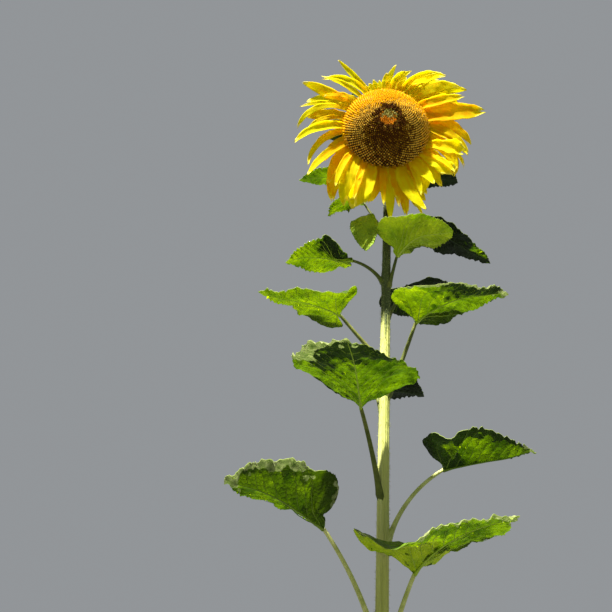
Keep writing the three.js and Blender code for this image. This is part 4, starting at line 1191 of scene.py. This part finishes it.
def add_ray(shape, angle, length, width, lean, rise, start, depth, widths, form, paint):
    """A petal or bract from a point of the rim.

    form holds how much its section is troughed and grooved, its ruffle, its turn and twist, the curl of
    its tip, how deep its tip is cut and its thickness. paint is its materials, over, under and rim.
    """
    v = np.linspace(-1, 1, PETAL_COLUMNS + 1)[None]
    cut = form["cut"] * (0.5 + 0.5 * np.cos(v * 1.7 * np.pi + angle)) + 0.5 * form["cut"] * v ** 2
    s = np.linspace(0, 1, PETAL_ROWS)[:, None] * (1 - cut)
    middles = middles_of(RAY_STEPS)
    tilt = mix(rise[0], rise[1], middles) + form["curl"] * middles ** 3
    moves = direction(angle + mix(lean[0], lean[1], middles), tilt) * (length / RAY_STEPS)
    begin = direction(angle, 0) * start + [0, 0, depth]
    line = along_line(walk(begin, moves), np.linspace(0, 1, RAY_STEPS + 1), s)
    outward = angle + mix(lean[0], lean[1], s)
    growth = direction(outward, mix(rise[0], rise[1], s) + form["curl"] * s ** 3)
    level = direction(outward + 90, 0)
    up = np.cross(growth, level)
    turn = np.radians(form["turn"] + form["twist"] * s ** 2)[..., None]
    across = level * np.cos(turn) + up * np.sin(turn)
    raised = up * np.cos(turn) - level * np.sin(turn)
    half = width / 2 * np.interp(s, *widths)
    ruffle = form["ruffle"] * (np.sin(s * 17 + angle + v) + 0.6 * np.sin(s * 31 - angle)) * np.abs(v) ** 1.5
    bow = form["trough"] * v ** 2 + ruffle + form["groove"] * np.cos(v * 4 * np.pi + angle)
    points = line + across * (half * v)[..., None] + raised * (half * bow)[..., None]
    over, under, rim = paint
    add_sheet(shape, placed(points)[:, ::-1], form["thick"], over, under, rim)


def petal_paint(tone, draw):
    """Materials of a petal's faces: deeper at the root, pale at the tip, and streaked along."""
    row = np.linspace(0, 1, PETAL_ROWS - 1)[:, None]
    column = np.linspace(-1, 1, PETAL_COLUMNS)[None]
    streak = 0.22 * np.sin(column * 7 + draw * 20) + 0.10 * np.sin(row * 13 + column * 3 + draw * 9)
    depth = tone + 0.5 - 1.5 * (row - 0.35) + streak * 2
    over = np.clip(np.round(depth), 0, 2).astype(int)
    over = np.where(row + 0.04 * np.sin(column * 4 + draw * 7) > 0.96, 3, over)
    under = np.where(over == 3, 3, np.minimum(over + 1, 2))
    return over[:, ::-1].ravel(), under[:, ::-1].ravel(), 3


def add_petals():
    shape = Shape()
    middle = -DISC_BACK - CLEAR - PLATE_THICKNESS / 2
    flat = PLATE_RADIUS - 0.002
    front = middle + PLATE_THICKNESS / 2
    back = middle - PLATE_THICKNESS / 2
    plate = [(0.001, back), (flat, back), (PLATE_RADIUS, middle), (flat, front), (0.001, front)]
    add_tube(shape, placed(turned(plate, ROUND_SIDES)), 2)
    for angle, length, width, root_lean, tip_lean, at_root, at_tip, tone in PETALS:
        draw = DRAWS.random(7)
        form = {"trough": mix(-0.1, 0.5, draw[0]), "groove": 0.05, "ruffle": mix(0.05, 0.16, draw[1]),
                "turn": mix(-4, 18, draw[5]) * -math.cos(math.radians(angle)),
                "twist": mix(-26, 26, draw[2]), "curl": mix(-14, 14, draw[3]),
                "cut": mix(0.0, 0.13, draw[4] ** 2), "thick": PETAL_SHEET}
        widths = PETAL_WIDTHS
        if width >= CURTAIN_WIDTH and at_root > 20:
            widths = CURTAIN_WIDTHS
            form |= {"groove": 0.10, "ruffle": 0.16, "cut": 0.12, "curl": -14}
        add_ray(shape, angle, length + PETAL_ROOT, width, (root_lean, tip_lean), (at_root, at_tip),
                PETAL_START - PETAL_ROOT, middle, widths, form, petal_paint(tone, draw[6]))
    shape.make("petals", [*PETAL_FINISHES, PETAL_RIM], "petal", "ray_petals")


def add_receptacle():
    shape = Shape()
    front = -DISC_BACK - 2 * CLEAR - PLATE_THICKNESS
    back = front - RECEPTACLE_DEPTH
    knots = [(0.001, back), (NECK_END_RADIUS + 0.003, back)]
    knots += [(RECEPTACLE_RADIUS * r, front - RECEPTACLE_DEPTH * d) for r, d in RECEPTACLE_CUP]
    knots += [(RECEPTACLE_RADIUS, front)]
    knots = np.array(knots)
    place = np.linspace(0, len(knots) - 1, 40)
    profile = along_line(knots, np.arange(len(knots)), place)
    add_tube(shape, placed(turned(profile, ROUND_SIDES)))
    for i in range(BRACTS):
        draw = DRAWS.random(4)
        form = {"trough": -0.25, "groove": 0.02, "ruffle": 0.06, "turn": 0, "twist": mix(-20, 20, draw[0]),
                "curl": mix(-30, 20, draw[1]), "cut": 0, "thick": BRACT_SHEET}
        add_ray(shape, 360 * i / BRACTS + 7 * math.sin(i * 2.4), 0.048 + 0.008 * math.sin(i * 1.7),
                0.026 + 0.003 * math.cos(i * 2.9), (0, 20 * math.sin(i * 3.1)), (-30, -12 - 14 * (i % 3)),
                RECEPTACLE_RADIUS - 0.006, front - 0.007, BRACT_WIDTHS, form, (0, 0, 1))
        form = {**form, "twist": mix(-20, 20, draw[2]), "curl": mix(-20, 20, draw[3])}
        add_ray(shape, 360 * (i + 0.5) / BRACTS, 0.038, 0.024, (0, 16 * math.sin(i * 1.9)), (-38, -30),
                RECEPTACLE_RADIUS - 0.012, front - 0.013, BRACT_WIDTHS, form, (0, 0, 1))
    shape.make("bracts", [BRACT_SKIN, LEAF_RIM], "bract", "receptacle")


def neck_line():
    """Points of the neck's line and the way it grows at each, from the stem's top to the bloom's back."""
    nod = math.radians(HEAD_NOD)
    facing = np.array([0, -math.cos(nod), -math.sin(nod)])
    end = HEAD_CENTRE - facing * (DISC_BACK + 3 * CLEAR + PLATE_THICKNESS + RECEPTACLE_DEPTH)
    turn = math.pi / 2 + nod
    radius = -end[1] / (1 - math.cos(turn))
    start = stem_centre(STEM_TOP - 0.01)
    share = np.linspace(0, 1, NECK_STEPS)
    angle = turn * share
    line = np.stack([mix(start[0], end[0], share), -radius * (1 - np.cos(angle)),
                     end[2] + radius * (np.sin(angle) - math.sin(turn))], -1)
    growth = np.stack([0 * angle, -np.sin(angle), np.cos(angle)], -1)
    line = np.concatenate([[start], line, [line[-1] + facing * 0.004]])
    return line, np.concatenate([[growth[0]], growth, [growth[-1]]])


def add_neck():
    """The neck bends over and carries the bloom."""
    shape = Shape()
    line, growth = neck_line()
    radii = np.concatenate([[float(stem_radius(STEM_TOP))],
                            np.linspace(NECK_RADIUS, NECK_END_RADIUS, NECK_STEPS), [NECK_END_RADIUS * 1.2]])
    skin = radii[:, None] * (1 + ridged(around(NECK_SIDES)[None], 0.5, NECK_RIDGE_DEPTH, 5))
    across = np.tile([1.0, 0, 0], (len(line), 1))
    add_tube(shape, rings(line, growth, across, skin, NECK_SIDES))
    at = DRAWS.integers(1, len(line) - 1, NECK_BRISTLES)
    outward = spoke(growth, across, at, DRAWS.uniform(0, 2 * np.pi, NECK_BRISTLES))
    onward = growth[at] * DRAWS.uniform(0, 0.002, NECK_BRISTLES)[:, None]
    add_bristles(shape, line[at] + outward * radii[at][:, None] + onward, outward, NECK_BRISTLE, 1)
    shape.make("neck_rind", [STALK_RIND, BRISTLE], "stalk", "neck")


bpy.context.scene.view_settings.view_transform = "Standard"
add_camera()
add_floor()
add_light()
add_stem()
add_neck()
for number, leaf in enumerate(LEAVES, 1):
    add_stalk(leaf, number)
    add_blade(leaf, number)
add_disc()
add_florets()
add_petals()
add_receptacle()
